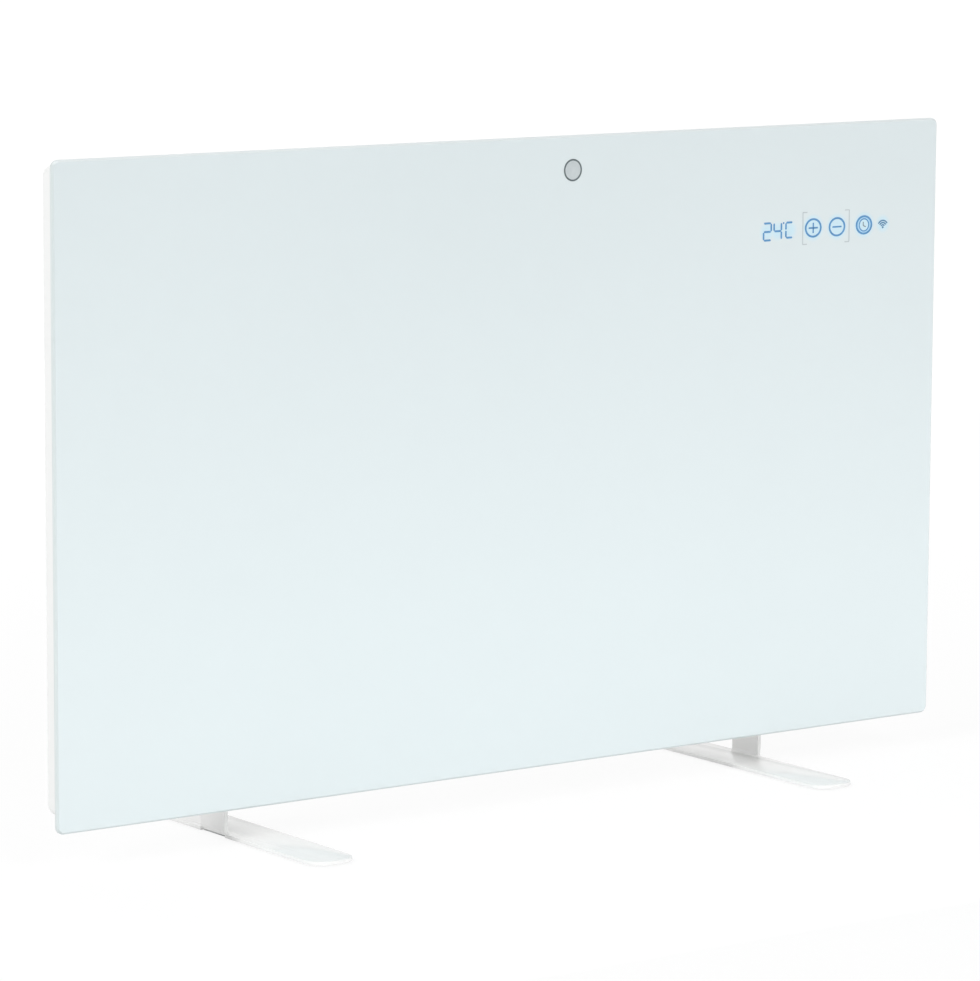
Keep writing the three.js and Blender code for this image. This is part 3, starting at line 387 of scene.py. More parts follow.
glass_white = Surface("white_glass", linear(228, 238, 240), 0.05, IOR=1.5)
# Round each lit mark the glass's colour is painted a paler blue, a painted glow of the light behind it.
glow = 0.0
for (x, z), inner, outer in glows:
    glow = glass_white.near((x, glass_face, glass_bottom + z), inner, outer).or_more(glow)
cloud = glass_white.noise(3.0, 1.0)
glass_tone = glass_white.mix(cloud, linear(226, 236, 238), linear(229, 239, 241))
glass_white.color(glass_white.mix(glow * glow_strength, glass_tone, linear(206, 238, 252)))
glass_white.roughness(glass_white.noise(40.0, 3.0) * 0.03 + 0.035)

glass_edge = Surface("glass_ground_edge", linear(214, 228, 224), 0.32, IOR=1.5)
edge_grain = glass_edge.noise(900.0, 3.0)
chamfer_end = glass_face + glass_chamfer
tone_blend = 0.0002  # half the width over which the tone changes behind the front bevel
highlight_from = glass_high.z - 0.004  # near the top the front bevel is painted lighter, a painted highlight
highlight_to = glass_high.z - 0.0015
# The front bevel is painted darker than the ground side behind it, a painted shade, and lighter near the top,
# a painted highlight.
behind_chamfer = glass_edge.ramp(glass_edge.axis("Y"), chamfer_end - tone_blend, chamfer_end + tone_blend)
top_bevel_highlight = glass_edge.ramp(glass_edge.axis("Z"), highlight_from, highlight_to)
bevel_shade_and_highlight = glass_edge.mix(top_bevel_highlight, linear(212, 221, 222), linear(235, 242, 243))
glass_edge.color(glass_edge.mix(behind_chamfer, bevel_shade_and_highlight, linear(221, 228, 228)))
glass_edge.bump(edge_grain, distance=0.00003)

front_glass = plate("front_glass", glass_low, glass_high, 1, glass_corner, glass_chamfer, rim_steps=1)
finish(front_glass, glass_white, "white_glass", "glass_front")
front_glass.data.materials.append(glass_edge.material)
for polygon in front_glass.data.polygons:
    on_a_face = abs(polygon.normal.y) > 0.999
    polygon.material_index = 0 if on_a_face else 1

# Lit digits -------------------------------------------------------------------------------------
# A seven-segment temperature readout shines blue through windows in the back paint. Each segment
# has pointed ends, and a thin gap keeps it from its neighbours.

mark_proud = 0.00015
stroke = 0.0016
point_share = 0.42  # of a bar's width, cut off each corner of a pointed end
lit_color = linear(84, 138, 184)

lit_blue = Surface("lit_mark", lit_color, 0.2, Emission_Strength=0.06)
lit_tone = lit_blue.mix(lit_blue.noise(260.0), linear(68, 130, 180), linear(106, 164, 214))
lit_blue.color(lit_tone)
lit_blue.feed(lit_blue.shader.inputs["Emission Color"], lit_tone)


def mark_bar(start, end, width, points=True):
    """A thin bar on the glass between two places, given along the panel and above its lower edge."""
    (x0, z0), (x1, z1) = start, end
    length = math.hypot(x1 - x0, z1 - z0)
    bar = slab("bar", (-length / 2, -mark_proud, -width / 2), (length / 2, 0, width / 2))
    if points:
        bevel(bar, along(1), width * point_share, 1)
    bar.rotation_euler.y = -math.atan2(z1 - z0, x1 - x0)
    bar.location = ((x0 + x1) / 2, glass_face, glass_bottom + (z0 + z1) / 2)
    activate(bar)
    bpy.ops.object.transform_apply(location=True, rotation=True)
    return bar


def joined(name, pieces):
    """One piece made of several, under a new name."""
    activate(pieces[0])
    for piece in pieces:
        piece.select_set(True)
    bpy.ops.object.join()
    piece = bpy.context.object
    piece.name = piece.data.name = name
    return piece


SEGMENT_ENDS = {
    "top": ((0, 2), (1, 2)),
    "upper_right": ((1, 1), (1, 2)),
    "lower_right": ((1, 0), (1, 1)),
    "bottom": ((0, 0), (1, 0)),
    "lower_left": ((0, 0), (0, 1)),
    "upper_left": ((0, 1), (0, 2)),
    "middle": ((0, 1), (1, 1)),
}
segment_gap = 0.0003


def digit(name, segments):
    """A seven-segment figure within its outer limits."""
    left, right, bottom, top = digit_limits[name]
    columns = [left + stroke / 2, right - stroke / 2]
    rows = [bottom + stroke / 2, (bottom + top) / 2, top - stroke / 2]
    bars = []
    for segment in segments:
        (i, j), (k, m) = SEGMENT_ENDS[segment]
        x0, z0, x1, z1 = columns[i], rows[j], columns[k], rows[m]
        trim_x = segment_gap if x1 > x0 else 0
        trim_z = segment_gap if z1 > z0 else 0
        bars.append(mark_bar((x0 + trim_x, z0 + trim_z), (x1 - trim_x, z1 - trim_z), stroke))
    piece = joined(name, bars)
    finish(piece, lit_blue, "lit_blue")


digit("digit_two", ["top", "upper_right", "middle", "lower_left", "bottom"])
digit("digit_four", ["upper_left", "middle", "upper_right", "lower_right"])
digit("letter_c", ["top", "upper_left", "lower_left", "bottom"])


def turned(name, rings, sides=48, hollow=False):
    """A round piece about Z, extruded and resized from ring to ring, each a radius and a height.
    A hollow one ends on its first ring."""
    radius, height = rings[0]
    bpy.ops.object.select_all(action="DESELECT")
    bpy.ops.mesh.primitive_circle_add(
        vertices=sides,
        radius=radius,
        fill_type="NOTHING" if hollow else "NGON",
        location=(0, 0, height),
    )
    piece = bpy.context.object
    piece.name = piece.data.name = name
    bpy.ops.object.transform_apply(location=True)
    bpy.ops.object.mode_set(mode="EDIT")
    bpy.ops.mesh.select_mode(type="VERT")
    bpy.ops.mesh.select_all(action="SELECT")
    for next_radius, next_height in rings[1:]:
        rise = (0, 0, next_height - height)
        bpy.ops.mesh.extrude_region_move(TRANSFORM_OT_translate={"value": rise})
        factor = next_radius / radius
        bpy.ops.transform.resize(value=(factor, factor, 1), center_override=(0, 0, next_height))
        radius, height = next_radius, next_height
    bpy.ops.mesh.select_all(action="SELECT")
    bpy.ops.mesh.remove_doubles(threshold=1e-7)
    bpy.ops.mesh.normals_make_consistent(inside=False)
    close_edit()
    return piece


FACING_FRONT = (math.pi / 2, 0, 0)  # turns +Z to -Y


def put(piece, place, rotation=(0, 0, 0)):
    """Turns a piece that was made at the origin, moves it to its place and fixes it there."""
    piece.rotation_euler = rotation
    piece.location = place
    activate(piece)
    bpy.ops.object.transform_apply(location=True, rotation=True)


def mark_ring(name, x, z, outer, width, height=mark_proud, wide=1.0, high=1.0):
    """A flat ring on the glass, which may be a little wider or higher than round."""
    inner = outer - width
    piece = turned(name, [(inner, 0), (outer, 0), (outer, height), (inner, height), (inner, 0)], 64, True)
    piece.scale = (wide, high, 1)
    activate(piece)
    bpy.ops.object.transform_apply(scale=True)
    put(piece, (x, glass_face, glass_bottom + z), FACING_FRONT)
    return piece


def mark_disc(name, x, z, radius, height):
    """A flat disc on the glass."""
    piece = turned(name, [(radius, 0), (radius, height)], 48)
    put(piece, (x, glass_face, glass_bottom + z), FACING_FRONT)
    return piece


degree_x = 0.2615
degree_z = 0.4207
degree_radius = 0.0008
degree_dot = mark_disc("degree_dot", degree_x, degree_z, degree_radius, mark_proud)
finish(degree_dot, lit_blue, "lit_blue")

# Touch keys -------------------------------------------------------------------------------------
# Plus, minus and timer keys and the wireless sign, lit from behind like the digits. The keys are
# only sensed through the glass, so nothing travels. The timer's ring is filled with paler light.

key_line = 0.0017
key_radius = 0.0085
key_stretch = {"wide": 1.04, "high": 0.93}
for name, (x, z) in key_places.items():
    ring = mark_ring(f"{name}_ring", x, z, key_radius, key_line, **key_stretch)
    finish(ring, lit_blue, "lit_blue")

sign_half_width = 0.0048
sign_half_height = 0.0042
sign_line = 0.0013
x, z = key_places["plus"]
plus_sign = joined("plus_sign", [
    mark_bar((x - sign_half_width, z), (x + sign_half_width, z), sign_line, points=False),
    mark_bar((x, z - sign_half_height), (x, z + sign_half_height), sign_line, points=False),
])
finish(plus_sign, lit_blue, "lit_blue")
x, z = key_places["minus"]
minus_sign = mark_bar((x - sign_half_width, z), (x + sign_half_width, z), sign_line, points=False)
minus_sign.name = "minus_sign"
finish(minus_sign, lit_blue, "lit_blue")

pale_blue = Surface("lit_pale_mark", linear(174, 216, 244), 0.2)
pale_blue.color(pale_blue.mix(pale_blue.noise(200.0), linear(166, 210, 240), linear(186, 224, 248)))

x, z = key_places["timer"]
fill_proud = mark_proud * 0.6
fill_width = 0.0018
timer_face_radius = 0.0055
timer_face_line = 0.0010
hand_line = 0.0008
hand_ends = [  # from the middle of the face
    ((-0.0008, 0.0026), (-0.0008, -0.0006)),
    ((-0.0010, -0.0004), (0.0019, -0.0016)),
]
timer_fill = mark_ring("timer_fill", x, z, key_radius - key_line, fill_width, fill_proud, **key_stretch)
finish(timer_fill, pale_blue, "lit_blue")
timer_face = mark_ring("timer_face", x, z, timer_face_radius, timer_face_line)
finish(timer_face, lit_blue, "lit_blue")
timer_hands = joined("timer_hands", [
    mark_bar((x + x0, z + z0), (x + x1, z + z1), hand_line, points=False)
    for (x0, z0), (x1, z1) in hand_ends
])

grey_print = Surface("grey_print", linear(112, 132, 142), 0.3)
grey_print.color(grey_print.mix(grey_print.noise(300.0), linear(104, 124, 134), linear(122, 142, 150)))
finish(timer_hands, grey_print, "lit_blue")


def arc(x, z, radius, width, sweep):
    """A stretch of a flat ring above a point, spun from the end face of a sliver."""
    sliver = 0.00001
    half = sweep / 2
    start = slab("arc", (-width / 2, -mark_proud, -sliver), (width / 2, 0, sliver))
    start.location = (radius, 0, 0)
    activate(start)
    bpy.ops.object.transform_apply(location=True)
    start.rotation_euler.y = -(math.pi / 2 - half)
    start.location = (x, glass_face, glass_bottom + z)
    bpy.ops.object.transform_apply(location=True, rotation=True)
    choose(start, "FACE", lambda face: face.normal.dot(Vector((-math.cos(half), 0, math.sin(half)))) > 0.99)
    bpy.ops.mesh.spin(
        steps=16,
        angle=sweep,
        center=(x, glass_face, glass_bottom + z),
        axis=(0, 1, 0),
    )
    close_edit()
    return start


sign_x, sign_z = sign_place
wave_radii = (0.0020, 0.0038, 0.0056)
wave_line = 0.0011
wave_sweep = math.radians(112)
sign_dot_radius = 0.0009
deep_blue = Surface("lit_deep_mark", linear(86, 136, 176), 0.2)
deep_blue.color(deep_blue.mix(deep_blue.noise(260.0), linear(74, 124, 164), linear(100, 150, 190)))
wireless_sign = joined("wireless_sign", [
    *(arc(sign_x, sign_z, radius, wave_line, wave_sweep) for radius in wave_radii),
    mark_disc("sign_dot", sign_x, sign_z, sign_dot_radius, mark_proud),
])
finish(wireless_sign, deep_blue, "lit_blue")

# Printed brackets and ring ----------------------------------------------------------------------
# Two thin grey brackets mark off the plus and minus keys. Near the middle of the upper edge is a
# plain printed ring with a paler centre.

pale_print = Surface("pale_print", linear(190, 200, 205), 0.3)
pale_print.color(pale_print.mix(pale_print.noise(300.0), linear(184, 195, 200), linear(198, 207, 211)))
bracket_line = 0.0008
bracket_low = 0.4022
bracket_high = 0.4282
bracket_tick = 0.0046
brackets = [("left_bracket", 0.2817, 1), ("right_bracket", 0.3308, -1)]  # the ticks point inwards
for name, x, way in brackets:
    tick_end = x + way * bracket_tick
    bracket = joined(name, [
        mark_bar((x, bracket_low), (x, bracket_high), bracket_line, points=False),
        mark_bar((x, bracket_low), (tick_end, bracket_low), bracket_line, points=False),
        mark_bar((x, bracket_high), (tick_end, bracket_high), bracket_line, points=False),
    ])
    finish(bracket, pale_print, "lit_blue")

ring_x = 0.0475
ring_z = 0.4728
ring_radius = 0.00875
ring_line = 0.0013
centre_radius = 0.00755  # the centre runs a little under the ring
dark_print = Surface("dark_print", linear(92, 104, 108), 0.35)
dark_print.color(dark_print.mix(dark_print.noise(300.0), linear(84, 97, 101), linear(102, 114, 117)))
ring_fill = Surface("ring_fill", linear(202, 210, 212), 0.25)
ring_fill.color(ring_fill.mix(ring_fill.noise(220.0), linear(194, 203, 206), linear(211, 218, 220)))
printed_ring = mark_ring("printed_ring", ring_x, ring_z, ring_radius, ring_line)
finish(printed_ring, dark_print, "black_plastic")
printed_centre = mark_disc("printed_centre", ring_x, ring_z, centre_radius, fill_proud)
finish(printed_centre, ring_fill, "white_plastic")

# Rear tray --------------------------------------------------------------------------------------
# One sheet of 1 mm steel, punched and folded into a shallow pan and powder coated satin white. Two
# bands of slots in its rear wall let warm air out, and the wires pass through the opening between.


def modify(piece, kind, **settings):
    """Adds a modifier with its settings and applies it."""
    modifier = piece.modifiers.new(kind.lower(), kind)
    for name, value in settings.items():
        setattr(modifier, name, value)
    activate(piece)
    bpy.ops.object.modifier_apply(modifier=modifier.name)


def merge(piece, other, operation="DIFFERENCE"):
    """Cuts another piece out of this one or joins it on, and removes it."""
    modify(piece, "BOOLEAN", operation=operation, object=other, solver="EXACT")
    bpy.data.objects.remove(other)


def repeat(piece, count, step):
    """A row of copies of a piece in one mesh."""
    modify(
        piece,
        "ARRAY",
        count=count,
        use_relative_offset=False,
        use_constant_offset=True,
        constant_offset_displace=step,
    )


def grained(name, color, roughness, grain, depth, spread=0.03, **constants):
    """A finish whose shade and gloss wander a little, with a fine grain raised on it."""
    gloss_spread = 0.12
    surface = Surface(name, color, roughness, **constants)
    fine = surface.noise(grain, 3.0)
    broad = surface.noise(grain / 40, 2.0)
    darker = tuple(level * (1 - spread) for level in color)
    lighter = tuple(min(level * (1 + spread), 1) for level in color)
    surface.color(surface.mix(broad, darker, lighter))
    surface.roughness(fine * gloss_spread + (roughness - gloss_spread / 2))
    surface.bump(fine, depth)
    return surface


tray_paint = grained("satin_powder_coat", linear(245, 246, 245), 0.36, 700.0, 0.00004, spread=0.012)

tray_low, tray_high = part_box("rear_tray")
tray_sheet = 0.001
tray_corner = 0.008
tray_fold = 0.0025
slot_width = 0.004
slot_length = 0.030
slot_pitch = 0.018
slot_count = 21
slot_heights = (0.055, 0.450)  # heights, here and below, are above the glass's lower edge
slot_rounding = slot_width * 0.49
door_left, door_right = 0.308, 0.392
door_bottom, door_top = 0.098, 0.124
door_corner = 0.003
punch_reach = 3 * tray_sheet

rear_pan = slab("rear_pan", tray_low, tray_high)
bevel(rear_pan, along(1), tray_corner, 8)
bevel(rear_pan, at(1, tray_high.y), tray_fold, 5)
choose(rear_pan, "FACE", at(1, tray_low.y))
bpy.ops.mesh.delete(type="FACE")
close_edit()
modify(rear_pan, "SOLIDIFY", thickness=tray_sheet, offset=-1)

first_slot = Vector((-slot_pitch * (slot_count - 1) / 2, tray_high.y, glass_bottom + slot_heights[0]))
slot_half = Vector((slot_width / 2, punch_reach, slot_length / 2))
slot_cutters = slab("slot_cutters", first_slot - slot_half, first_slot + slot_half)
bevel(slot_cutters, along(1), slot_rounding, 5)
repeat(slot_cutters, slot_count, (slot_pitch, 0, 0))
repeat(slot_cutters, len(slot_heights), (0, 0, slot_heights[1] - slot_heights[0]))
merge(rear_pan, slot_cutters)
wire_door = slab(
    "wire_door",
    (door_left, tray_high.y - punch_reach, glass_bottom + door_bottom),
    (door_right, tray_high.y + punch_reach, glass_bottom + door_top),
)
bevel(wire_door, along(1), door_corner, 4)
merge(rear_pan, wire_door)
finish(rear_pan, tray_paint, "tray_paint", "rear_tray")

# Screws -----------------------------------------------------------------------------------------
# Zinc-plated pan-head screws with a cross recess: three through the tray's upper wall and three
# through its lower one into the rails, two in the control box's lip, and two in each foot.

zinc_plate = grained("zinc_plate", (0.6, 0.62, 0.63), 0.34, 2600.0, 0.00001, spread=0.08, Metallic=1.0)


def cross_screw(name, radius, height, shank_radius, shank_length):
    """A screw that stands upright on the origin, with the underside of its head at height 0."""
    screw = turned(name, [
        (shank_radius, -shank_length),
        (shank_radius, 0),
        (radius, 0),
        (radius, height * 0.35),
        (radius * 0.94, height * 0.62),
        (radius * 0.78, height * 0.85),
        (radius * 0.42, height),
    ], 32)
    arm, half_width = radius * 0.56, radius * 0.12
    recess_floor, recess_mouth = height * 0.35, height * 1.2
    for x, y in [(arm, half_width), (half_width, arm)]:
        merge(screw, slab("recess", (-x, -y, recess_floor), (x, y, recess_mouth)))
    return screw


def place_screw(model, node, head_height, rotation=(0, 0, 0)):
    """Sets a copy of a screw where the node is, its head's end on the end of the node."""
    low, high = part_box(node)
    way = Matrix.Rotation(rotation[0], 3, "X") @ Vector((0, 0, 1))
    half = (high - low) / 2
    tip = (low + high) / 2 + way * abs(half.dot(way))
    screw = model.copy()
    screw.data = model.data.copy()
    screw.name = screw.data.name = f"{node}_cross"
    bpy.context.collection.objects.link(screw)
    put(screw, tip - way * head_height, rotation)
    finish(screw, zinc_plate, "zinc_steel", node)


UPSIDE_DOWN = (math.pi, 0, 0)
FACING_REAR = (-math.pi / 2, 0, 0)  # turns +Z to +Y
small_head = 0.002
foot_head = 0.003
cover_screw = cross_screw("cover_screw", 0.0032, small_head, shank_radius=0.0016, shank_length=0.006)
box_screw = cross_screw("box_screw", 0.0032, small_head, shank_radius=0.0016, shank_length=0.007)
foot_screw = cross_screw("foot_screw", 0.0048, foot_head, shank_radius=0.0025, shank_length=0.009)
for number in (1, 2, 3):
    place_screw(cover_screw, f"cover_screw_top_{number}", small_head)
    place_screw(cover_screw, f"cover_screw_bottom_{number}", small_head, UPSIDE_DOWN)
for hand in ("left", "right"):
    place_screw(box_screw, f"box_screw_{hand}", small_head, FACING_REAR)
    for height in ("lower", "upper"):
        place_screw(foot_screw, f"{hand}_foot_screw_{height}", foot_head, FACING_REAR)
for model in (cover_screw, box_screw, foot_screw):
    bpy.data.objects.remove(model)

# Control box ------------------------------------------------------------------------------------
# A cover moulded in white plastic with a fine spark texture. It hooks into the tray at the top, is
# screwed to it through its lip at the bottom, and has seven vents over the power board.

white_plastic = grained("white_moulded_plastic", linear(238, 238, 236), 0.42, 2400.0, 0.00005, spread=0.015)

box_low, box_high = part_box("control_box")
fit_gap = 0.0003  # pieces that touch keep this gap
lip_width = 0.008
lip_thickness = 0.002
lip_corner = 0.005
lip_rim = 0.0006
box_wall = 0.0022
box_corner = 0.008
box_rim = 0.004
box_front = tray_high.y + fit_gap
box_left = box_low.x + lip_width
box_right = box_high.x - lip_width
box_bottom = box_low.z + lip_width
box_top = glass_bottom + 0.130

box_cover = plate(
    "box_cover",
    (box_left, box_front, box_bottom),
    (box_right, box_high.y, box_top),
    1,
    box_corner,
    box_rim,
    corner_steps=6,
    rim_steps=5,
    rims=(1,),
)
box_lip = plate(
    "box_lip",
    (box_low.x, box_front, box_low.z),
    (box_high.x, box_front + lip_thickness, box_top + lip_width),
    1,
    lip_corner,
    lip_rim,
    corner_steps=6,
    rim_steps=2,
    rims=(1,),
)
merge(box_cover, box_lip, "UNION")
cutter_reach = 0.001
cavity = slab(
    "cavity",
    (box_left + box_wall, box_front - cutter_reach, box_bottom + box_wall),
    (box_right - box_wall, box_high.y - box_wall, box_top - box_wall),
)
bevel(cavity, along(1), box_corner - box_wall, 5)
merge(box_cover, cavity)

vent_left, vent_right = 0.330, 0.333
vent_bottom, vent_top = 0.050, 0.088
vent_rounding = 0.00145
vent_pitch = 0.008
vent_count = 7
vent_inside, vent_outside = 0.004, 0.002  # how far the cut reaches from the face of the box
vents = slab(
    "vents",
    (vent_left, box_high.y - vent_inside, glass_bottom + vent_bottom),
    (vent_right, box_high.y + vent_outside, glass_bottom + vent_top),
)
bevel(vents, along(1), vent_rounding, 4)
repeat(vents, vent_count, (vent_pitch, 0, 0))
merge(box_cover, vents)

switch_low, switch_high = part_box("switch_body")
switch_half_depth = 0.0067
switch_half_height = 0.0105
switch_y = (switch_low.y + switch_high.y) / 2
switch_z = (switch_low.z + switch_high.z) / 2
hole_half_depth = switch_half_depth + fit_gap
hole_half_height = switch_half_height + fit_gap
hole_reach = 0.005
merge(box_cover, slab(
    "switch_hole",
    (box_right - hole_reach, switch_y - hole_half_depth, switch_z - hole_half_height),
    (box_right + hole_reach, switch_y + hole_half_depth, switch_z + hole_half_height),
))
gland_low, gland_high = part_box("cable_gland")
gland_x = (gland_low.x + gland_high.x) / 2
gland_y = (gland_low.y + gland_high.y) / 2
gland_hole_radius = 0.008
gland_hole_reach = 0.006
gland_hole = turned("gland_hole", [
    (gland_hole_radius, -gland_hole_reach),
    (gland_hole_radius, gland_hole_reach),
], 32)
put(gland_hole, (gland_x, gland_y, box_bottom))
merge(box_cover, gland_hole)
finish(box_cover, white_plastic, "white_plastic", "control_box")

# Mains switch -----------------------------------------------------------------------------------
# A black snap-in switch in the box's side. A frame round its rocker rests on the box. The rocker has
# a hollowed key with raised marks, a bar for on and a ring for off, and turns on two stub pins.

black_plastic = grained("black_moulded_plastic", linear(38, 38, 40), 0.4, 2400.0, 0.00004, spread=0.1)
raised_white = grained("white_filled_marks", linear(225, 226, 225), 0.4, 2400.0, 0.00002)

frame_thickness = 0.0016
frame_corner = 0.0015
frame_rim = 0.0006
pivot_depth = 0.0026  # behind the frame's face
case_inset = 0.0005
case_depth = 0.011  # this and the next two are measured back from the pivot
pocket_depth = 0.007
tab_root = 0.0105
pocket_half_depth = 0.0052
pocket_half_height = 0.0092
pocket_corner = 0.0008
tab_half_width = 0.0024
tab_half_thickness = 0.0004
tab_rise = 0.005
pivot = Vector((switch_high.x - pivot_depth, switch_y, switch_z))
switch_frame = plate(
    "switch_frame",
    (switch_high.x - frame_thickness, switch_low.y, switch_low.z),
    switch_high,
    0,
    frame_corner,
    frame_rim,
    corner_steps=5,
    rim_steps=3,
    rims=(1,),
)
merge(switch_frame, slab(
    "switch_case",
    (pivot.x - case_depth, switch_y - switch_half_depth, switch_z - switch_half_height),
    (switch_high.x - case_inset, switch_y + switch_half_depth, switch_z + switch_half_height),
), "UNION")
pocket = slab(
    "pocket",
    (pivot.x - pocket_depth, switch_y - pocket_half_depth, switch_z - pocket_half_height),
    (switch_high.x + hole_reach, switch_y + pocket_half_depth, switch_z + pocket_half_height),
)
bevel(pocket, along(0), pocket_corner, 3)
merge(switch_frame, pocket)
for side in (-1, 1):
    tab_z = switch_z + side * tab_rise
    merge(switch_frame, slab(
        "tab",
        (switch_low.x, switch_y - tab_half_width, tab_z - tab_half_thickness),
        (pivot.x - tab_root, switch_y + tab_half_width, tab_z + tab_half_thickness),
    ), "UNION")
finish(switch_frame, black_plastic, "black_plastic", "switch_body")

rocker_half_width = 0.0048
rocker_half_length = 0.008
rocker_front = 0.0042  # from the pivot
rocker_back = -0.0045
back_cut = 0.0042
rocker_dip = 0.0012
rocker_rounding = 0.0003
rocker_tilt = math.radians(8)  # at rest, half its travel to the side of off
pin_radius = 0.0011
pin_half_length = 0.0059

rocker_key = slab(
    "rocker_key",
    (rocker_back, -rocker_half_width, -rocker_half_length),
    (rocker_front, rocker_half_width, rocker_half_length),
)
bevel(rocker_key, lambda edge: along(1)(edge) and at(0, rocker_back)(edge), back_cut, 1)
hollow_radius = (rocker_half_length ** 2 + rocker_dip ** 2) / (2 * rocker_dip)
bpy.ops.object.select_all(action="DESELECT")
bpy.ops.mesh.primitive_cylinder_add(
    vertices=256,
    radius=hollow_radius,
    depth=4 * rocker_half_width,
    location=(rocker_front - rocker_dip + hollow_radius, 0, 0),
    rotation=(math.pi / 2, 0, 0),
)
merge(rocker_key, bpy.context.object)
modify(
    rocker_key,
    "BEVEL",
    width=rocker_rounding,
    segments=3,
    limit_method="ANGLE",
    angle_limit=math.radians(25),
)
pin = turned("pin", [(pin_radius, -pin_half_length), (pin_radius, pin_half_length)], 20)
put(pin, (0, 0, 0), FACING_FRONT)
rocker_key = joined("rocker_key", [rocker_key, pin])
put(rocker_key, pivot, (0, rocker_tilt, 0))
finish(rocker_key, black_plastic, "black_plastic", "switch_rocker", body="rocker")

mark_z = 0.0053
mark_bottom, mark_top = -0.0001, 0.0002  # from the face of the key
bar_half_length = 0.0016
bar_half_width = 0.0002
off_inner, off_outer = 0.0011, 0.0015
on_mark = slab(
    "on_mark",
    (-bar_half_length, -bar_half_width, mark_bottom),
    (bar_half_length, bar_half_width, mark_top),
)
off_mark = turned("off_mark", [
    (off_inner, mark_bottom),
    (off_outer, mark_bottom),
    (off_outer, mark_top),
    (off_inner, mark_top),
    (off_inner, mark_bottom),
], 32, True)
hollow_slope = math.atan2(mark_z, hollow_radius)
mark_x = rocker_front - rocker_dip + hollow_radius * (1 - math.cos(hollow_slope))
for mark, side in [(on_mark, 1), (off_mark, -1)]:
    put(mark, (0, 0, 0), (0, math.pi / 2 + side * hollow_slope, 0))
    put(mark, (mark_x, 0, side * mark_z))
    put(mark, pivot, (0, rocker_tilt, 0))
    finish(mark, raised_white, "white_plastic", body="rocker")

# Cable gland ------------------------------------------------------------------------------------
# White nylon, screwed into the floor of the box: a six-sided collar and a fluted cap that squeezes
# a seal round the mains lead. The lead isn't part of the model.

nylon = grained("white_nylon", linear(228, 228, 224), 0.38, 1800.0, 0.00003)
gland_bore = 0.0042
cap_bottom, cap_shoulder, cap_top = -0.014, -0.0105, -0.005  # heights above the box's floor
cap_radius = 0.0094
thread_radius = 0.0075
thread_top = 0.011
collar_bottom, collar_top = cap_top + 0.0001, -fit_gap
collar_bore = 0.0076
collar_radius = 0.0110
flute_count = 24
flute_edge = 0.00012
flute_depth = 0.0005
gland_cap = turned("gland_cap", [
    (gland_bore, cap_bottom),
    (0.0058, cap_bottom),
    (0.0068, cap_bottom + 0.0006),
    (0.0088, cap_shoulder),
    (cap_radius, cap_shoulder + 0.0008),
    (cap_radius, cap_top),
    (thread_radius, cap_top),
    (thread_radius, thread_top),
    (gland_bore, thread_top),
    (gland_bore, cap_bottom),
], 2 * flute_count, True)


def every_second_side(face):
    """Passes every second face round the widest part of the cap."""
    middle = face.calc_center_median()
    pitch = 360 / flute_count
    turn = math.degrees(math.atan2(middle.y, middle.x)) % pitch
    outside = math.hypot(middle.x, middle.y) > 0.98 * cap_radius
    return outside and turn < pitch / 2 and abs(face.normal.z) < 0.1


choose(gland_cap, "FACE", every_second_side)
bpy.ops.mesh.inset(thickness=flute_edge, depth=-flute_depth, use_individual=True)
close_edit()
gland_collar = turned("gland_collar", [
    (collar_bore, collar_bottom),
    (0.0104, collar_bottom),
    (collar_radius, collar_bottom + 0.0006),
    (collar_radius, collar_top),
    (collar_bore, collar_top),
    (collar_bore, collar_bottom),
], 6, True)
cord_gland = joined("cord_gland", [gland_cap, gland_collar])
put(cord_gland, (gland_x, gland_y, box_bottom))
finish(cord_gland, nylon, "white_plastic", "cable_gland")

# Feet -------------------------------------------------------------------------------------------
# Each foot is one strip of 3 mm steel with a glossy white powder coat: a flat sole with rounded
# ends, an upright bent up from its outer edge, and a flange bent in against the tray.

foot_paint = grained(
    "gloss_powder_coat",
    linear(243, 243, 242),
    0.2,
    500.0,
    0.00003,
    spread=0.012,
    Coat_Weight=0.5,
    Coat_Roughness=0.03,
)
foot_rubber = grained("foot_rubber", linear(196, 200, 200), 0.7, 1500.0, 0.00005, spread=0.05)

foot_steel = 0.003
foot_bend = 0.003  # inside radius where the steel is bent
outer_bend = foot_bend + foot_steel
sole_width = 0.040
sole_corner = 0.015
sole_rim = 0.0005
cut_edge = 0.0004  # how far the paint rounds the cut edges
sunk = 0.00002  # keeps faces of joined pieces from lying in one plane
relief = 0.0002  # how far the cuts outside the folds reach past the steel
upright_front = tray_high.y + fit_gap
upright_rear = upright_front + 0.034
upright_start = 0.0008  # above the sole's underside, inside its steel
flange_corner = 0.006
flange_bottom, flange_top = 0.040, 0.112
slope_bottom = flange_bottom + 0.012  # the upright's rear edge slopes forward from here
slope_rise = flange_top - slope_bottom - sunk
slope_end = upright_front + 0.009


def beyond_round(low, high, radius, middle, rotation=(0, 0, 0)):
    """The part of a box that lies outside a long round bar through a point."""
    half_length = 0.3
    corner = slab("corner", low, high)
    round_bar = turned("round_bar", [(radius, -half_length), (radius, half_length)], 96)
    put(round_bar, middle, rotation)
    merge(corner, round_bar)
    return corner


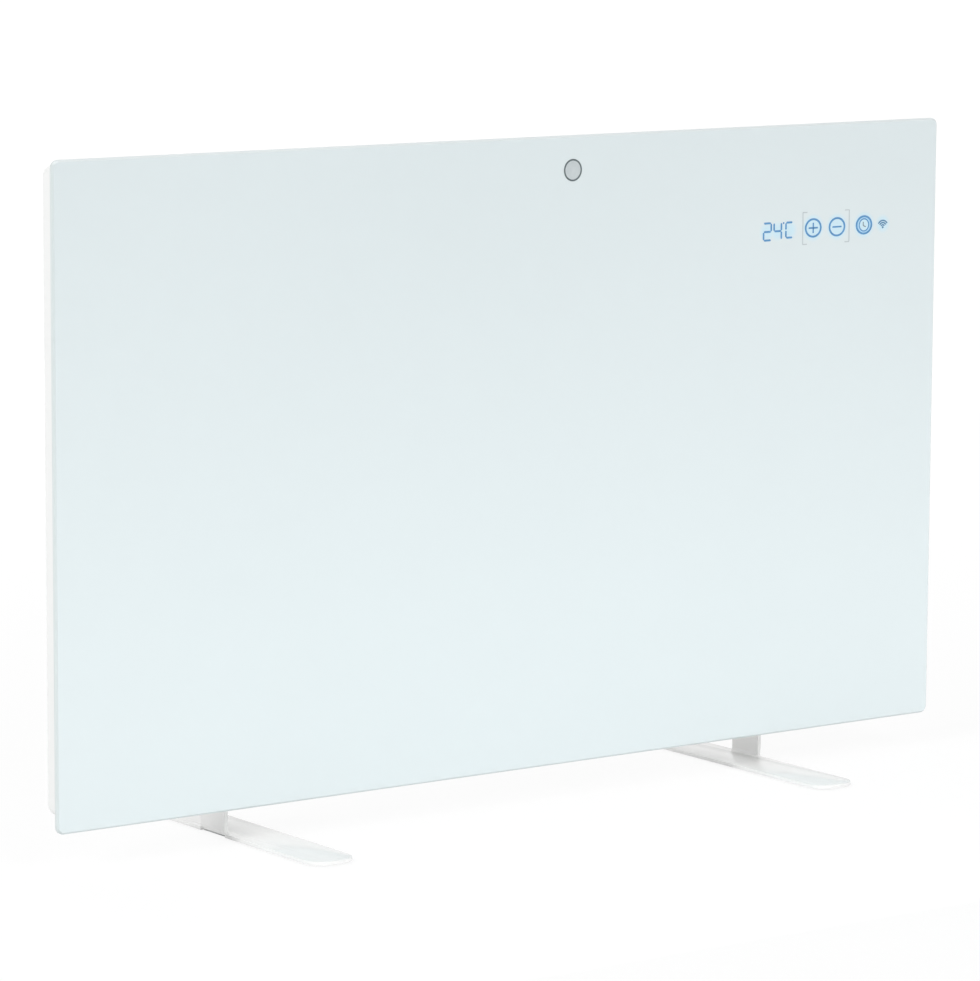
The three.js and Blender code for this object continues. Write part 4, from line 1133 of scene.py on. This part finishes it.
def foot(name, low, high):
    """The right foot, which stands between two corners of its node's box."""
    outer, inner = high.x, high.x - sole_width
    inside = outer - foot_steel
    sole_top = low.z + foot_steel
    sole_fold = Vector((inside - foot_bend, 0, sole_top + foot_bend))
    flange_fold = Vector((inside - foot_bend, upright_front + outer_bend, 0))

    piece = plate(
        name,
        (inner, low.y, low.z),
        (outer, high.y, sole_top),
        2,
        sole_corner,
        sole_rim,
        rim_steps=2,
    )

    upright = slab(
        "upright",
        (inside, upright_front + sunk, low.z + upright_start),
        (outer - sunk, upright_rear, slope_bottom),
    )
    choose(upright, "FACE", at(2, slope_bottom))
    bpy.ops.mesh.extrude_region_move(TRANSFORM_OT_translate={"value": (0, 0, slope_rise)})
    close_edit()
    choose(upright, "EDGE", lambda edge: at(1, upright_rear)(edge) and at(2, slope_bottom + slope_rise)(edge))
    bpy.ops.transform.translate(value=(0, slope_end - upright_rear, 0))
    close_edit()
    behind_flange = upright_front + foot_steel
    bevel(upright, lambda edge: all(v.co.y > behind_flange for v in edge.verts), cut_edge, 2)

    flange = slab(
        "flange",
        (inner, upright_front, flange_bottom),
        (outer - foot_steel / 2, behind_flange, flange_top),
    )
    bevel(flange, lambda edge: along(1)(edge) and at(0, inner)(edge), flange_corner, 8)
    bevel(flange, at(1, behind_flange), cut_edge, 2)
    for part in (upright, flange):
        merge(piece, part, "UNION")

    # The folds' round insides, then what their outsides lack from a square corner
    merge(piece, beyond_round(
        (sole_fold.x, upright_front + cut_edge, sole_top - cut_edge),
        (inside + cut_edge, upright_rear - cut_edge, sole_fold.z),
        foot_bend, sole_fold, FACING_FRONT,
    ), "UNION")
    merge(piece, beyond_round(
        (flange_fold.x, behind_flange - cut_edge, flange_bottom + cut_edge),
        (inside + cut_edge, flange_fold.y, flange_top - cut_edge),
        foot_bend, flange_fold,
    ), "UNION")
    merge(piece, beyond_round(
        (sole_fold.x, upright_front - relief, low.z - relief),
        (outer + relief, upright_rear + relief, sole_fold.z),
        outer_bend, sole_fold, FACING_FRONT,
    ))
    merge(piece, beyond_round(
        (flange_fold.x, upright_front - relief, flange_bottom - relief),
        (outer + relief, flange_fold.y, flange_top + relief),
        outer_bend, flange_fold,
    ))
    return piece


def mirrored(piece, name):
    """A copy for the other side of the middle, with its faces turned out again."""
    copy = piece.copy()
    copy.data = piece.data.copy()
    copy.name = copy.data.name = name
    bpy.context.collection.objects.link(copy)
    copy.scale.x = -1
    activate(copy)
    bpy.ops.object.transform_apply(scale=True)
    choose(copy, "FACE", lambda face: True)
    bpy.ops.mesh.remove_doubles(threshold=1e-7)
    bpy.ops.mesh.normals_make_consistent(inside=False)
    close_edit()
    return copy


right_foot = foot("right_bent_foot", *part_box("right_foot"))
left_foot = mirrored(right_foot, "left_bent_foot")
strip_low, strip_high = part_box("right_foot_pad")
strip_corner = 0.010
strip_rim = 0.0002
right_strip = plate(
    "right_rubber_strip",
    strip_low,
    strip_high,
    2,
    strip_corner,
    strip_rim,
    corner_steps=8,
    rim_steps=1,
)
left_strip = mirrored(right_strip, "left_rubber_strip")
finish(right_foot, foot_paint, "foot_paint", "right_foot")
finish(left_foot, foot_paint, "foot_paint", "left_foot")
finish(right_strip, foot_rubber, "foot_rubber", "right_foot_pad")
finish(left_strip, foot_rubber, "foot_rubber", "left_foot_pad")

# Inside -----------------------------------------------------------------------------------------
# What the glass, the tray and the box hide: the bonded rails and heating layers, the boards and
# their parts, and the wires. Each has the finish of its own material.

circuit_board = grained("green_circuit_board", (0.02, 0.17, 0.07), 0.3, 900.0, 0.00002, spread=0.1)
tracks = circuit_board.node("ShaderNodeTexBrick", {"offset": 0.37}, {
    "Vector": circuit_board.place,
    "Scale": 90.0,
    "Mortar Size": 0.045,
}, output="Fac")
circuit_board.color(circuit_board.mix(tracks, (0.02, 0.17, 0.07), (0.05, 0.27, 0.11)))

fibre_board = grained("mineral_fibre_board", (0.7, 0.66, 0.54), 0.9, 600.0, 0.0002, spread=0.12)
fibres = fibre_board.noise(120.0, 6.0, stretch=(8.0, 8.0, 1.0))
fibre_board.color(fibre_board.mix(fibres, (0.6, 0.56, 0.44), (0.76, 0.72, 0.62)))

carbon_film = grained("carbon_heating_film", (0.02, 0.02, 0.02), 0.5, 1200.0, 0.00002, spread=0.3)
carbon_stripe = carbon_film.node("ShaderNodeTexWave", values={
    "Vector": carbon_film.place,
    "Scale": 12.0,
    "Distortion": 0.0,
})
carbon_film.color(carbon_film.mix(carbon_stripe, (0.012, 0.012, 0.012), (0.05, 0.05, 0.05)))

mica_sheet = grained("pressed_mica", (0.45, 0.32, 0.15), 0.35, 260.0, 0.00006, spread=0.25)
crinkled_foil = grained("crinkled_foil", (0.78, 0.79, 0.8), 0.25, 90.0, 0.0004, spread=0.05, Metallic=1.0)
inside_finishes = {
    "white_plastic": white_plastic,
    "black_plastic": black_plastic,
    "blue_plastic": grained("blue_component_case", (0.05, 0.16, 0.42), 0.3, 1500.0, 0.00002),
    "yellow_plastic": grained("yellow_tape_and_case", (0.62, 0.45, 0.06), 0.35, 900.0, 0.00003),
    "green_board": circuit_board,
    "wire_red": grained("red_silicone_insulation", (0.4, 0.03, 0.02), 0.5, 1500.0, 0.00002),
    "mica": mica_sheet,
    "carbon_film": carbon_film,
    "fibre_board": fibre_board,
    "silicone": grained("silicone_bead", (0.62, 0.64, 0.64), 0.55, 300.0, 0.0001),
    "foil": crinkled_foil,
    "zinc_steel": zinc_plate,
    "copper": grained("bare_copper", (0.72, 0.38, 0.22), 0.3, 900.0, 0.00001, spread=0.1, Metallic=1.0),
    "brass": grained("turned_brass", (0.62, 0.47, 0.19), 0.3, 1400.0, 0.00001, spread=0.1, Metallic=1.0),
    "lit_blue": pale_blue,
}
for part in frame["record"]["subparts"]:
    node = frame["nodes"][part["node"]]
    if part["material_slot"] in inside_finishes:
        node.data.materials.clear()
        node.data.materials.append(inside_finishes[part["material_slot"]].material)
